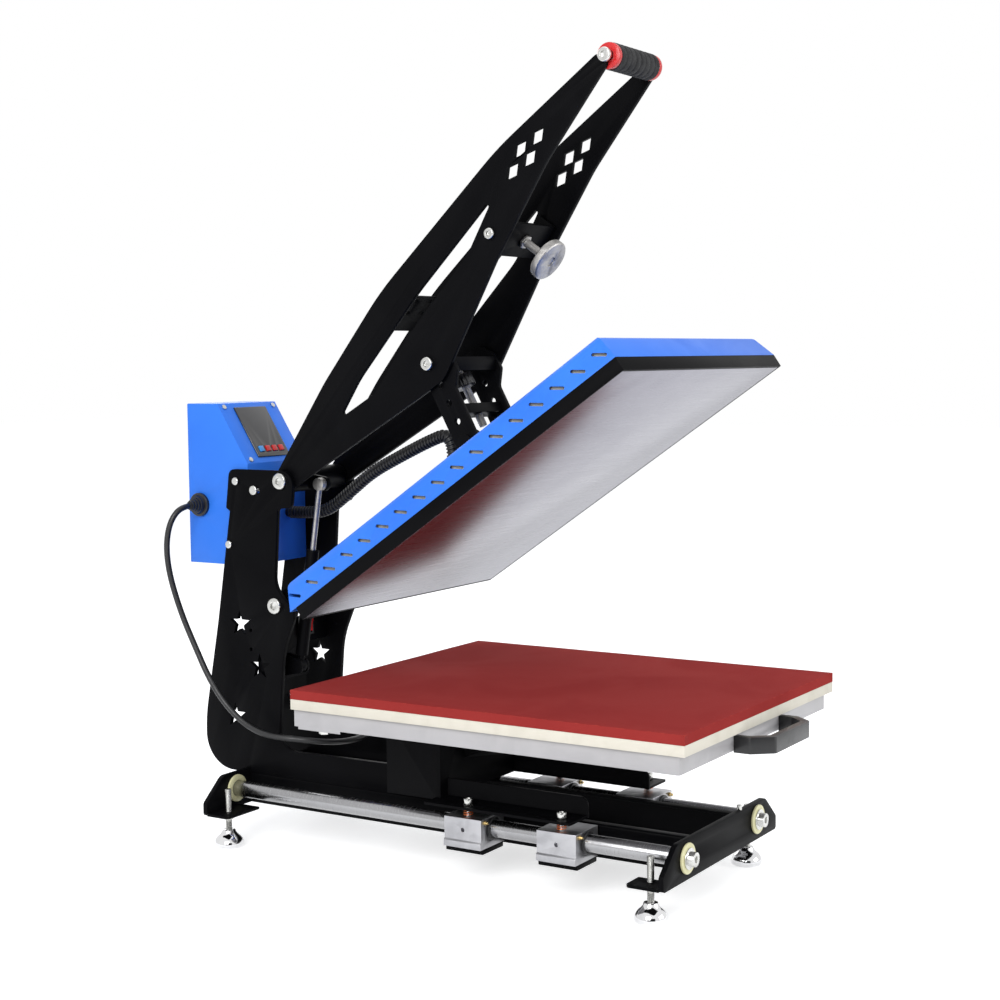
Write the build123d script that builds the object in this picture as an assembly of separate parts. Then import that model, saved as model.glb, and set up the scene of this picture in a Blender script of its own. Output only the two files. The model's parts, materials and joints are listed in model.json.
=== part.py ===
from build123d import *
import math
import os

os.makedirs("parts", exist_ok=True)

# Slide-out heat press with a lifting upper platen, stored open with its drawer in.
# Millimetres. +Z is up from the floor, the column is at +Y and the drawer pulls towards -Y.

# Platens
PLATEN_W = 400
PLATEN_D = 500
PLATEN_REAR = 137
MAT_T = 11
BOARD_T = 12
TRAY_H = 20
TRAY_T = 2
TRAY_INSET = 5
TRAY_FRONT_INSET = 8
TRAY_CORNER_R = 3
WEBS = (35, 70)
LUG_Y = 105
LUG_INSET = 18
LUG_REACH = 30
BED_TOP = 224
PRESS_DOWN = 4.5
MAT_CLEAR = 0.3
HEATER_T = 12
BAND_H = 16
BAND_T = 3
BAND_CLEAR = 0.3
COVER_H = 32
COVER_T = 1.5
COVER_LEAN = 9
COVER_REAR_OVERHANG = 10
COVER_EDGE_R = 8
VENT_COUNT = 17
VENT_PITCH = 30
VENT_L = 20
VENT_W = 3.5
VENT_FRONT = 16
VENT_HEIGHT = 0.42

# Pivots of the lever, the platen hinge and the toggle, with the lever up
LEVER_Y = 255
LEVER_Z = 451
HINGE_Y = 267
HINGE_Z = 295
TOGGLE_Y = 37
TOGGLE_Z = 594.3
OPEN_ANGLE = 34.25
LEVER_TURN = 54.55
LINK_L = 103
LINK_LEAN = 28
PIN_R = 6
SHAFT_R = 8
RUN_CLEAR = 0.05

# Layers outwards from the middle plane, each plate beside the next
PLATE_T = 6
COLUMN_OUT = 64
SIDE_GAP = 0.6
LEVER_OUT = COLUMN_OUT - PLATE_T - SIDE_GAP
LINK_OUT = LEVER_OUT - PLATE_T - SIDE_GAP
BRIDGE_OUT = LINK_OUT - PLATE_T - SIDE_GAP
BOLT_HEAD_R = 8
BOLT_HEAD_H = 5

# Base
RAIL_BOTTOM = 41
RAIL_H = 38
RAIL_T = 3
RAIL_FLANGE = 12
BASE_FRONT = -307
BASE_REAR = 313
END_T = 6
END_TOP = 85
END_HALF_W = 148
END_TIP_Z = 57
END_SHOULDER = 116
TAB_T = 3
TAB_INNER = 88
TAB_SLIM_INNER = 115.5
TAB_ROOT_L = 9
TAB_FRONT_L = 40
TAB_REAR_L = 33
ROD_X = 92.4
ROD_Z = 65
ROD_R = 10
ROD_FIT = 0.1
WASHER_R = 17
WASHER_T = 3
STEEL_WASHER_R = 12
STEEL_WASHER_T = 1.5
ROD_BOLT_R = 8
ROD_BOLT_H = 7
ROD_HEX_R = 4
STOP_X = 50
STOP_R = 3
STOP_H = 6
FOOT_X = 124.2
FOOT_FRONT_INSET = 21
FOOT_REAR_INSET = 14
STUD_R = 4
STUD_TOP = 72
THREAD_CLEAR = 0.05
CUP_R = 18.5
CUP_H = 22
CUP_SOCKET = 12
NUT_H = 6
NUT_AF = 13

# Drawer
BLOCK_W = 54
BLOCK_L = 50
BLOCK_BOTTOM = 44.5
BLOCK_TOP = 79
STRIP_H = 6
STRIP_INSET = 5
BLOCK_ROW = 123
BLOCK_FRONT_Y = -166
WAIST_INSET = 2
WAIST_LOW = 7
BLOCK_HOLE_R = 2.5
BLOCK_HOLE_DEPTH = 6
BUSH_R = 12.5
BUSH_CLEAR = 0.08
SEAL_T = 2.5
SEAL_R = 13
SPRING_GAP = 9
FLANGE_T = 3
SPRING_X = 105
SPRING_R = 5.2
SPRING_WIRE = 1.2
SPRING_TURNS = 3
CARRIAGE_BOLT_R = 3
CARRIAGE_HEAD_R = 5.5
CARRIAGE_HEAD_H = 8
CARRIAGE_HOLE_CLEAR = 0.3
NIPPLE_ASIDE = 18
NIPPLE_DROP = 4
NIPPLE_R = 2.5
NIPPLE_TIP_R = 1.5
NIPPLE_L = 5
PAN_WALL_X = 76
PAN_WALL_H = 23
PAN_CORNER_R = 10
PAN_FRONT = -183
PAN_FLANGE_OUT = 117
PEDESTAL_Y = 10
PEDESTAL_HALF_W = 92
PEDESTAL_T = 6
PEDESTAL_DEPTH = 70
SHEET_T = 3
GUSSET_X = 40
GUSSET_REACH = 120
GUSSET_DROP = 50
PULL_W = 130
PULL_H = 18
PULL_REACH = 41
PULL_BAR = 9
PULL_TAPER = 22
PULL_DROP = 2
PULL_CORNER = 18
PULL_OUTER_R = 6
PULL_INNER_R = 4
PULL_SCREW_L = 12
PULL_HEAD_R = 4.5
LUG_BOLT_L = 14
LUG_BOLT_HEAD = 6
LUG_BOLT_R = 7.5

# Column plates and power switch
COLUMN_LOW_R = 44
COLUMN_OUTLINE = [(385, 145, 200), (361, 270, 600), (338, 411), (344, 415, 2), (337.8, 464, 9),
                  (234.5, 464, 19), (240, 418.5, 6), (261.5, 416, 3), (268.5, 319, 30), (236, 286, 16),
                  (256.5, 240, 120), (266, 127, 18), (250, 113, 30), (19, 115, 12)]
STARS = [(326, 268.5), (336, 150), (294.4, 216)]
STAR_R = 17
STAR_INNER = 0.4
FIXINGS = [(327, 449), (340, 368.5)]
SMALL_HOLES = [(308, 237), (308, 261)]
FIXING_R = 2.5
GUIDE_SLOT = (298, 438.5)
GUIDE_SLOT_L = 18
GUIDE_SLOT_R = 3.5
GUIDE_SLOT_LEAN = 10
GUIDE_HEAD_R = 6
SIDE_HEAD_R = 5
SIDE_HEAD_H = 3
PIVOT_HEAD_R = 10
HEAD_EDGE = 1
HEX_DEPTH = 3
TIE_Y = 282
TIE_Z = 196
TIE_H = 76
TIE_LIP = 20
TIE_FORK_HALF_H = 14
SWITCH_X = 12
SWITCH_Z = 259
SWITCH_W = 32
SWITCH_H = 25
SWITCH_RIM = 3
SWITCH_STEP = 2
SWITCH_BODY = 16
SWITCH_WALL = 2.2
SWITCH_POCKET = 10
ROCKER_W = 24
ROCKER_H = 16.5
ROCKER_PLAY = 0.5
ROCKER_MOUTH_H = 19.5
ROCKER_AXIS_IN = 1
ROCKER_HUB_R = 3
ROCKER_PIN_R = 1.5
ROCKER_PIN_L = 25.8

# Control box
BOX_HALF_W = COLUMN_OUT - PLATE_T - SIDE_GAP
BOX_REAR = 411
BOX_BOTTOM = 342
BOX_TOP = 546
BOX_TOP_FRONT = 361
BOX_SLOPE_Y = 313
BOX_SLOPE_Z = 471
BOX_T = 1.5
BOX_FOLD_R = 2
SCREW_INSET = 9
SCREW_HEAD_R = 3.2
SCREW_HEAD_H = 2
PANEL_W = 62
PANEL_L = 74
PANEL_T = 2
PANEL_LIP = 4
KEY_SIZE = 8
KEY_EDGE = 11
KEY_PLAY = 0.5
KEY_PITCH = 13
KEY_H = 1.6
KEY_TRAVEL = 0.8
GLAND_R = 15
GLAND_HEX_L = 5
GLAND_NECK_L = 14
GLAND_EDGE = 4
GLAND_Y = BOX_REAR - GLAND_R - GLAND_EDGE
GLAND_Z = 417
CORD_R = 3.75

# Lever
LEVER_OUTLINE = [(-239.7, 965.3, 9.5), (-60, 835, 400), (105, 679, 400), (190, 572, 300), (304.1, 405.2, 15),
                 (15.7, 575.3, 30), (-58, 711.5, 150), (-124, 816.4, 200)]
LEVER_WINDOW = [(-57, 786, 2.5), (50, 678, 300), (138, 576, 150), (169, 528, 3), (114, 560, 14),
                (59, 634, 200), (-18, 716, 100)]
DIAMONDS = [(-113.4, 845.2), (-91, 832.7), (-102.9, 822), (-80.4, 808.9)]
DIAMOND_LEAN = -50
PIVOT_TUBE_R = 15
GRIP_Y = -200
GRIP_Z = 926
GRIP_R = 15
GRIP_COLLAR = 7
GRIP_SHAFT_R = 6
GRIP_RINGS = 7
GRIP_RING_W = 2
GRIP_RING_DEPTH = 0.8
TIE_BOLT_R = 4
TIE_BOLT_Y = -50.8
TIE_BOLT_Z = 741
DIAMOND_L = 25
DIAMOND_W = 15
ARMATURE_R = 25
ARMATURE_T = 10
ARMATURE_Y = -159.8
STEM_R = 5
STEM_NUT_R = 9
JAM_NUT_H = 3.5
CLAMP_T = 4
CLAMP_DROP = 8
CLAMP_W = 44
CLAMP_FLANGE = 26
VENT_PLATE_T = 3
VENT_PLATE_L = 54
VENT_HOLE_R = 3
VENT_HOLE_X = 14.5
VENT_HOLE_ROWS = (2, 21)
VENT_PLATE_PLACE = (97, 655)
VENT_PLATE_LEAN = 133

# Toggle link and pressure screw
LINK_HALF_W = 16
EAR_OUT = 29
EAR_LOW = 22
LINK_HOLE_R = 4
SCREW_R = 5
SCREW_START = 12
SCREW_END = 84
KNOB_R = 13
KNOB_H = 14
KNOB_START = 18
NUT_BLOCK_START = 57
NUT_BLOCK_L = 12
LINK_HOLES = (28, 52, 76)
EAR_TIE_T = 4
EAR_TIE_H = 16
KNURLS = 16
KNURL_R = 1.6
KNURL_OUT = 0.6

# Upper platen mechanism
HINGE_R = 7
HINGE_EYE_R = 16
TOGGLE_EYE_R = 13.5
TOGGLE_EYE_SPREAD = 1.6
TOGGLE_STUB = 2.2
BRIDGE_BAR_TOP = 284
BRIDGE_T = 4
BRIDGE_REAR = -20
BRIDGE_FRONT = -195
BRIDGE_HALF_W = 80
MAGNET_R = 27
MAGNET_TOP = 313.5
MAGNET_GROOVE = (17, 21)
MAGNET_GROOVE_DEPTH = 1
MAGNET_GAP = 1
MAGNET_FOOT = 6

# Gas spring
GAS_X = -28
GAS_TOP_Y = 222
GAS_TOP_Z = 446
GAS_FOOT_Y = 258
GAS_FOOT_Z = 215
GAS_R = 8
GAS_ROD_R = 3.5
GAS_BODY_L = 150
GAS_ROD_L = 175
GAS_WALL = 1.5
GAS_EYE_R = 8
GAS_EYE_T = 8
GAS_NECK_R = 4
GAS_NECK_L = 15
GAS_EAR_R = 9
GAS_PIN_R = 4
GAS_PISTON_L = 8

# Heater lead in its ribbed hose
HOSE_R = 8
HOSE_VALLEY_R = 6.6
HOSE_BORE_R = 5.5
RIB_PITCH = 7
HOSE_FIT_Y = -2
HOSE_FIT_R = 11
HOSE_FIT_H = 12
HOSE_BOX_Z = 404
HOSE_X = 22
HOSE_LEAD = 32
HOSE_ROUTE = [(280, 404), (248, 408), (214, 432), (178, 459), (134, 480), (92, 499), (58, 511)]
RIB_FORM = ((0.05, HOSE_VALLEY_R), (0.25, HOSE_R), (0.6, HOSE_R), (0.8, HOSE_VALLEY_R))

# Mains cable put away behind the column
COIL_X = 124
COIL_Y = 400
COIL_R = 49
COIL_PITCH = 9.4
COIL_TURNS = 2
COIL_CLIMB = 0.5
COIL_LEAD = 40
CORD_LIFT = 0.4
PLUG_R = 12
PLUG_L = 34
PIN_SPREAD = 6
PIN_L = 19
PLUG_PIN_R = 2.4

ALONG_X = (1, 0, 0)
ALONG_Y = (0, 1, 0)
UP = (0, 0, 1)
BED_FRONT = PLATEN_REAR - PLATEN_D
BOARD_TOP = BED_TOP - MAT_T
TRAY_TOP = BOARD_TOP - BOARD_T
TRAY_BOTTOM = TRAY_TOP - TRAY_H
HEATER_Z = BED_TOP - PRESS_DOWN + MAT_CLEAR
COVER_Z = HEATER_Z + BAND_H
COVER_TOP = COVER_Z + COVER_H
RAIL_TOP = RAIL_BOTTOM + RAIL_H
FLANGE_Z = BLOCK_TOP + SPRING_GAP


def outline(*corners):
    """Closed face through corners (u, v) or (u, v, radius), rounded by tangent arcs."""
    points = [Vector(c[0], c[1]) for c in corners]
    radii = [c[2] if len(c) > 2 else 0 for c in corners]
    ends = []
    for i, point in enumerate(points):
        before = (points[i - 1] - point).normalized()
        after = (points[(i + 1) % len(points)] - point).normalized()
        half = math.radians(before.get_angle(after)) / 2
        cut = radii[i] / math.tan(half)
        middle = point
        if radii[i]:
            inward = (before + after).normalized()
            middle = point + inward * (radii[i] / math.sin(half) - radii[i])
        ends.append((point + before * cut, middle, point + after * cut))
    edges = []
    for i, (start, middle, end) in enumerate(ends):
        if radii[i]:
            edges.append(ThreePointArc(start, middle, end))
        edges.append(Line(end, ends[(i + 1) % len(ends)][0]))
    return make_face(Wire(edges))


def slab_x(face, low, high):
    """Solid of a (y, z) face between two x values."""
    placed = Plane(origin=(low, 0, 0), x_dir=ALONG_Y, z_dir=ALONG_X) * face
    return extrude(placed, amount=high - low, dir=ALONG_X)


def slab_y(face, low, high):
    """Solid of an (x, z) face between two y values."""
    placed = Plane(origin=(0, low, 0), x_dir=ALONG_X, z_dir=(0, -1, 0)) * face
    return extrude(placed, amount=high - low, dir=ALONG_Y)


def slab_z(face, low, high):
    """Solid of an (x, y) face between two z values."""
    return extrude(Pos(0, 0, low) * face, amount=high - low, dir=UP)


def block(x, y, z):
    """Box between (low, high) pairs."""
    size = [pair[1] - pair[0] for pair in (x, y, z)]
    return Pos(x[0], y[0], z[0]) * Box(*size, align=(Align.MIN, Align.MIN, Align.MIN))


def rod(start, direction, radius, length):
    """Cylinder from a start point along a direction."""
    upright = (Align.CENTER, Align.CENTER, Align.MIN)
    return Plane(origin=start, z_dir=direction) * Cylinder(radius, length, align=upright)


def ring(start, direction, radius, bore, length):
    """Tube from a start point along a direction."""
    return rod(start, direction, radius, length) - rod(start, direction, bore, length)


def mirrored(shape):
    """The same piece on the other side of the middle plane."""
    return mirror(shape, about=Plane.YZ)


def both_sides(shape):
    return [shape, mirrored(shape)]


def flatten(items):
    solids = []
    for item in items:
        solids += flatten(item) if isinstance(item, (list, tuple)) else list(item.solids())
    return solids


def save(name, *items):
    """Writes one node, as a solid or as a group of separate solids."""
    middle = (BOX_REAR + TRAY_FRONT - PULL_REACH) / 2
    solids = [Pos(0, -middle, 0) * solid for solid in flatten(items)]
    shape = solids[0] if len(solids) == 1 else Compound(solids)
    export_step(shape, "parts/" + name + ".step")


def turned(shape, degrees, y, z):
    """The shape turned about an axis along X through (y, z), +Y towards +Z when positive."""
    return shape.rotate(Axis((0, y, z), ALONG_X), degrees)


def turn_point(y, z, degrees, about_y, about_z):
    """A (y, z) point turned in the same sense."""
    angle = math.radians(degrees)
    dy = y - about_y
    dz = z - about_z
    return (about_y + dy * math.cos(angle) - dz * math.sin(angle),
            about_z + dy * math.sin(angle) + dz * math.cos(angle))


def opened(shape):
    """A piece of the upper platen moved from the closed place to the open one."""
    return turned(shape, -OPEN_ANGLE, HINGE_Y, HINGE_Z)


def link_point(distance, aside=0):
    """The (y, z) place on the toggle link at a distance from its upper pivot."""
    lean = math.radians(LINK_LEAN)
    return (TOGGLE_Y - distance * math.sin(lean) + aside * math.cos(lean),
            TOGGLE_Z - distance * math.cos(lean) - aside * math.sin(lean))


def biarc(start, start_way, end, end_way):
    """Two arcs that leave start and reach end along the given directions."""
    span = end - start
    ways = start_way + end_way
    a = 2 * (1 - start_way.dot(end_way))
    b = span.dot(ways)
    reach = (b * b + a * span.dot(span)) ** 0.5
    reach = (reach - b) / a if a > 1e-9 else span.dot(span) / (2 * b)
    joint = (start + end + (start_way - end_way) * reach) * 0.5
    middle_way = (joint - start).normalized()
    middle_way = middle_way * (2 * start_way.dot(middle_way)) - start_way
    return [TangentArc(start, joint, tangent=start_way),
            TangentArc(joint, end, tangent=middle_way)]


def wound_path(place, turns, steps_a_turn):
    """Wire of biarcs along place(t), with t counted in turns."""
    count = round(turns * steps_a_turn)
    edges = []
    for i in range(count):
        ends = []
        for t in (i / steps_a_turn, (i + 1) / steps_a_turn):
            way = (place(t + 0.001) - place(t - 0.001)).normalized()
            ends += [place(t), way]
        edges += biarc(*ends)
    return Wire(edges)


def least_gap(place, turns, radius):
    """Least space between the surfaces of a wound tube's turns, measured on points."""
    step = 0.05
    points = [place(i * step) for i in range(round(turns / step) + 1)]
    least = 1e9
    for i, first in enumerate(points):
        for second in points[i + round(0.5 / step):]:
            least = min(least, (first - second).length - 2 * radius)
    return least


# Base


def side_rail():
    high = RAIL_TOP
    channel = outline((COLUMN_OUT, RAIL_BOTTOM), (COLUMN_OUT, high, RAIL_T),
                      (COLUMN_OUT - RAIL_FLANGE, high), (COLUMN_OUT - RAIL_FLANGE, high - RAIL_T),
                      (COLUMN_OUT - RAIL_T, high - RAIL_T), (COLUMN_OUT - RAIL_T, RAIL_BOTTOM + RAIL_T),
                      (COLUMN_OUT - RAIL_FLANGE, RAIL_BOTTOM + RAIL_T),
                      (COLUMN_OUT - RAIL_FLANGE, RAIL_BOTTOM))
    return slab_y(channel, BASE_FRONT, BASE_REAR)


def cross_plate(low, tab_low, tab_high, foot_y):
    """End plate with its two foot tabs, from y = low. A front tab is slim where the drawer's blocks pass."""
    face = outline((-END_HALF_W, RAIL_BOTTOM, 4), (END_HALF_W, RAIL_BOTTOM, 4),
                   (END_HALF_W, END_TIP_Z, 6), (END_SHOULDER, END_TOP, 14),
                   (-END_SHOULDER, END_TOP, 14), (-END_HALF_W, END_TIP_Z, 6))
    plate = slab_y(face, low, low + END_T)
    tab = slab_z(outline((TAB_INNER, tab_low), (END_HALF_W, tab_low, 6),
                         (END_HALF_W, tab_high), (TAB_INNER, tab_high, 6)),
                 RAIL_BOTTOM, RAIL_BOTTOM + TAB_T)
    if tab_low > low:
        root = tab_low + TAB_ROOT_L
        tab = slab_z(outline((TAB_INNER, tab_low), (END_HALF_W, tab_low), (END_HALF_W, tab_high, 6),
                             (TAB_SLIM_INNER, tab_high), (TAB_SLIM_INNER, root), (TAB_INNER, root)),
                     RAIL_BOTTOM, RAIL_BOTTOM + TAB_T)
    plate += tab + mirrored(tab)
    for side in (-1, 1):
        plate -= rod((side * ROD_X, low, ROD_Z), ALONG_Y, ROD_R + ROD_FIT, END_T)
        plate -= rod((side * FOOT_X, foot_y, RAIL_BOTTOM), UP, STUD_R + THREAD_CLEAR, TAB_T)
    return plate


def guide_rod():
    return rod((ROD_X, BASE_FRONT - END_T, ROD_Z), ALONG_Y, ROD_R, BASE_REAR - BASE_FRONT + 2 * END_T)


def end_washers():
    """Cream washers: outside the front plate, inside the rear plate round the rod."""
    front = rod((ROD_X, BASE_FRONT - END_T - WASHER_T, ROD_Z), ALONG_Y, WASHER_R, WASHER_T)
    rear = ring((ROD_X, BASE_REAR - WASHER_T, ROD_Z), ALONG_Y, WASHER_R, ROD_R + ROD_FIT, WASHER_T)
    return both_sides(chamfer(front.edges().filter_by(GeomType.CIRCLE), 0.6)) + both_sides(rear)


def end_bolts():
    """Steel washer and socket head at each rod end."""
    front_y = BASE_FRONT - END_T - WASHER_T
    rear_y = BASE_REAR + END_T
    pieces = []
    for seat, way in ((front_y, -1), (rear_y, 1)):
        bolt = rod((ROD_X, seat, ROD_Z), (0, way, 0), STEEL_WASHER_R, STEEL_WASHER_T)
        bolt += rod((ROD_X, seat + way * STEEL_WASHER_T, ROD_Z), (0, way, 0), ROD_BOLT_R, ROD_BOLT_H)
        mouth = Plane(origin=(ROD_X, seat + way * (STEEL_WASHER_T + ROD_BOLT_H), ROD_Z), z_dir=(0, -way, 0))
        bolt -= mouth * extrude(RegularPolygon(ROD_HEX_R, 6), amount=ROD_HEX_R)
        pieces += both_sides(bolt)
    return pieces


FEET = [(FOOT_X, BASE_FRONT + FOOT_FRONT_INSET), (FOOT_X, BASE_REAR - FOOT_REAR_INSET)]


def at_feet(piece):
    return [both_sides(Pos(x, y, 0) * piece) for x, y in FEET]


def foot_cup():
    """Bell-shaped foot with a socket for its stud."""
    profile = outline((0, 0), (CUP_R - 1, 0, 1), (CUP_R, 7, 8), (CUP_R * 0.5, CUP_H - 5, 6),
                      (CUP_R * 0.42, CUP_H), (0, CUP_H))
    cup = revolve(Plane.XZ * profile, axis=Axis.Z)
    return cup - rod((0, 0, CUP_SOCKET), UP, STUD_R + THREAD_CLEAR, CUP_H)


def foot_nut():
    body = extrude(RegularPolygon(NUT_AF / 2, 6, major_radius=False), amount=NUT_H)
    return Pos(0, 0, RAIL_BOTTOM - NUT_H) * body - rod((0, 0, 0), UP, STUD_R + THREAD_CLEAR, RAIL_BOTTOM)


def foot_stud():
    stud = rod((0, 0, CUP_SOCKET), UP, STUD_R, STUD_TOP - CUP_SOCKET)
    return chamfer(stud.edges().group_by(Axis.Z)[-1], HEAD_EDGE)


def stop_stud():
    return rod((STOP_X, BASE_FRONT - END_T / 2, END_TOP), UP, STOP_R, STOP_H)


# Column


def star(y, z):
    points = []
    for i in range(10):
        angle = math.radians(90 + 36 * i)
        radius = STAR_R if i % 2 == 0 else STAR_R * STAR_INNER
        points.append((y + radius * math.cos(angle), z + radius * math.sin(angle)))
    return outline(*points)


def hole_x(y, z, radius):
    """Cutter along X through everything."""
    return rod((-PLATEN_W, y, z), ALONG_X, radius, 2 * PLATEN_W)


def column_plate():
    rear = COLUMN_OUTLINE[0][0]
    front = COLUMN_OUTLINE[-1][0]
    face = outline((rear, RAIL_TOP, COLUMN_LOW_R), *COLUMN_OUTLINE, (front, RAIL_TOP))
    for y, z in STARS:
        face -= star(y, z)
    plate = slab_x(face, COLUMN_OUT - PLATE_T, COLUMN_OUT)
    plate -= block((0, PLATEN_W), (BASE_REAR, BASE_REAR + END_T), (RAIL_TOP, END_TOP))
    for y, z in FIXINGS + SMALL_HOLES:
        plate -= hole_x(y, z, FIXING_R)
    slot = Pos(*GUIDE_SLOT) * SlotOverall(GUIDE_SLOT_L, 2 * GUIDE_SLOT_R, rotation=GUIDE_SLOT_LEAN)
    plate -= slab_x(slot, 0, PLATEN_W)
    plate -= hole_x(LEVER_Y, LEVER_Z, SHAFT_R)
    plate -= hole_x(HINGE_Y, HINGE_Z, HINGE_R)
    return plate


def socket_head(seat, side, radius):
    """Chamfered head with a hexagon socket, standing out from a seat along X."""
    head = rod(seat, (side, 0, 0), radius, BOLT_HEAD_H)
    head = chamfer(head.edges().filter_by(GeomType.CIRCLE).group_by(Axis.X)[-1 if side > 0 else 0], HEAD_EDGE)
    mouth = Plane(origin=(seat[0] + side * BOLT_HEAD_H, seat[1], seat[2]), z_dir=(-side, 0, 0))
    return head - mouth * extrude(RegularPolygon(radius / 2, 6), amount=HEX_DEPTH)


def pivot_shaft(y, z, radius):
    """Shaft through both column plates with a socket head at each end."""
    shaft = rod((-COLUMN_OUT, y, z), ALONG_X, radius - RUN_CLEAR, 2 * COLUMN_OUT)
    for side in (-1, 1):
        shaft += socket_head((side * COLUMN_OUT, y, z), side, PIVOT_HEAD_R)
    return shaft


def side_bolt(y, z, head_r=SIDE_HEAD_R):
    """Button-head bolt through the column plate into the box wall."""
    low = BOX_HALF_W - BOX_T
    head = rod((COLUMN_OUT, y, z), ALONG_X, head_r, SIDE_HEAD_H)
    head = fillet(head.edges().group_by(Axis.X)[-1], SIDE_HEAD_H / 2)
    return head + rod((low, y, z), ALONG_X, FIXING_R - RUN_CLEAR, COLUMN_OUT - low)


def column_bolts():
    slot_bolt = side_bolt(*GUIDE_SLOT, head_r=GUIDE_HEAD_R)
    return [both_sides(side_bolt(y, z)) for y, z in FIXINGS] + both_sides(slot_bolt)


def column_tie():
    """Cross sheet between the column plates, with a fork for the lift spring and the switch window."""
    half = COLUMN_OUT - PLATE_T
    sheet = block((-half, half), (TIE_Y, TIE_Y + SHEET_T), (TIE_Z, TIE_Z + TIE_H))
    lip = block((half - SHEET_T, half), (TIE_Y, TIE_Y + TIE_LIP), (TIE_Z, TIE_Z + TIE_H))
    sheet += lip + mirrored(lip)
    eye = GAS_EYE_R
    fork = outline((TIE_Y, GAS_FOOT_Z - TIE_FORK_HALF_H), (TIE_Y, GAS_FOOT_Z + TIE_FORK_HALF_H),
                   (GAS_FOOT_Y - eye, GAS_FOOT_Z + eye, eye - 1), (GAS_FOOT_Y - eye, GAS_FOOT_Z - eye, eye - 1))
    reach = GAS_EYE_T / 2 + SIDE_GAP
    for low in (GAS_X - reach - SHEET_T, GAS_X + reach):
        sheet += slab_x(fork, low, low + SHEET_T)
    length = 2 * (reach + SHEET_T)
    sheet += rod((GAS_X - length / 2, GAS_FOOT_Y, GAS_FOOT_Z), ALONG_X, GAS_PIN_R - RUN_CLEAR, length)
    window = Pos(SWITCH_X, TIE_Y + SHEET_T / 2, SWITCH_Z) * Box(SWITCH_W - 2 * SWITCH_STEP, 2 * SHEET_T,
                                                               SWITCH_H - 2 * SWITCH_STEP)
    return sheet - window


def switch_housing():
    """Frame of the power switch in front of its sheet, with its body behind."""
    frame = Pos(SWITCH_X, TIE_Y - SWITCH_RIM / 2, SWITCH_Z) * Box(SWITCH_W, SWITCH_RIM, SWITCH_H)
    body = Box(SWITCH_W - 2 * SWITCH_WALL, SWITCH_BODY, SWITCH_H - 2 * SWITCH_WALL)
    mouth = Box(ROCKER_W + 2 * ROCKER_PLAY, SWITCH_POCKET, ROCKER_MOUTH_H)
    return (frame + Pos(SWITCH_X, TIE_Y + SWITCH_BODY / 2, SWITCH_Z) * body
            - Pos(SWITCH_X, TIE_Y - SWITCH_RIM + SWITCH_POCKET / 2, SWITCH_Z) * mouth
            - rocker_bar(ROCKER_PIN_R, SWITCH_W))


def rocker_bar(radius, length):
    """Round bar on the rocker's axis."""
    return rod((SWITCH_X - length / 2, TIE_Y + ROCKER_AXIS_IN, SWITCH_Z), ALONG_X, radius, length)


def power_rocker():
    """Red rocker with two slanted faces, its hub and its pin, turned to its off side."""
    half = ROCKER_H / 2
    front = TIE_Y - SWITCH_RIM
    face = outline((front - 3, SWITCH_Z + half, 0.8), (front - 0.5, SWITCH_Z),
                   (front - 1, SWITCH_Z - half, 0.8), (front + 3, SWITCH_Z - half + 1.5, 1),
                   (front + 3, SWITCH_Z + half - 1.5, 1))
    body = slab_x(face, SWITCH_X - ROCKER_W / 2, SWITCH_X + ROCKER_W / 2)
    return body + rocker_bar(ROCKER_HUB_R, ROCKER_W) + rocker_bar(ROCKER_PIN_R - RUN_CLEAR, ROCKER_PIN_L)


# Control box


def box_face():
    return outline((BOX_REAR, BOX_BOTTOM), (BOX_REAR, BOX_TOP, BOX_FOLD_R),
                   (BOX_TOP_FRONT, BOX_TOP, BOX_FOLD_R), (BOX_SLOPE_Y, BOX_SLOPE_Z, BOX_FOLD_R),
                   (BOX_SLOPE_Y, BOX_BOTTOM))


SLOPE_LENGTH = math.hypot(BOX_TOP_FRONT - BOX_SLOPE_Y, BOX_TOP - BOX_SLOPE_Z)
SLOPE_WAY = Vector(0, BOX_TOP_FRONT - BOX_SLOPE_Y, BOX_TOP - BOX_SLOPE_Z).normalized()
SLOPE_OUT = Vector(0, -SLOPE_WAY.Z, SLOPE_WAY.Y)
SLOPE = Plane(origin=Vector(0, BOX_SLOPE_Y, BOX_SLOPE_Z) + SLOPE_WAY * (SLOPE_LENGTH / 2),
              x_dir=ALONG_X, z_dir=SLOPE_OUT)


def control_box_shell():
    """Folded sheet box, open at the bottom where the wiring enters the column."""
    shell = slab_x(box_face(), -BOX_HALF_W, BOX_HALF_W)
    inside = outline((BOX_REAR - BOX_T, BOX_BOTTOM), (BOX_REAR - BOX_T, BOX_TOP - BOX_T),
                     (BOX_TOP_FRONT + BOX_T, BOX_TOP - BOX_T), (BOX_SLOPE_Y + BOX_T, BOX_SLOPE_Z),
                     (BOX_SLOPE_Y + BOX_T, BOX_BOTTOM))
    shell -= slab_x(inside, -BOX_HALF_W + BOX_T, BOX_HALF_W - BOX_T)
    shell -= SLOPE * Box(PANEL_W - 2 * PANEL_LIP, PANEL_L - 2 * PANEL_LIP, 4 * BOX_T)
    shell -= rod((-BOX_HALF_W - 1, GLAND_Y, GLAND_Z), ALONG_X, GLAND_R * 0.7, 2 * BOX_T + 1)
    for y, z in FIXINGS:
        shell -= hole_x(y, z, FIXING_R)
    return shell


def display_panel():
    body = Pos(0, 0, PANEL_T / 2) * Box(PANEL_W, PANEL_L, PANEL_T)
    body = chamfer(body.edges().group_by(Axis.Z)[-1], 0.5)
    panel = SLOPE * body
    for place in KEY_PLACES:
        panel -= SLOPE * (Pos(*place) * Box(KEY_SIZE + 2 * KEY_PLAY, KEY_SIZE + 2 * KEY_PLAY, 3 * PANEL_T))
    return panel


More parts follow.
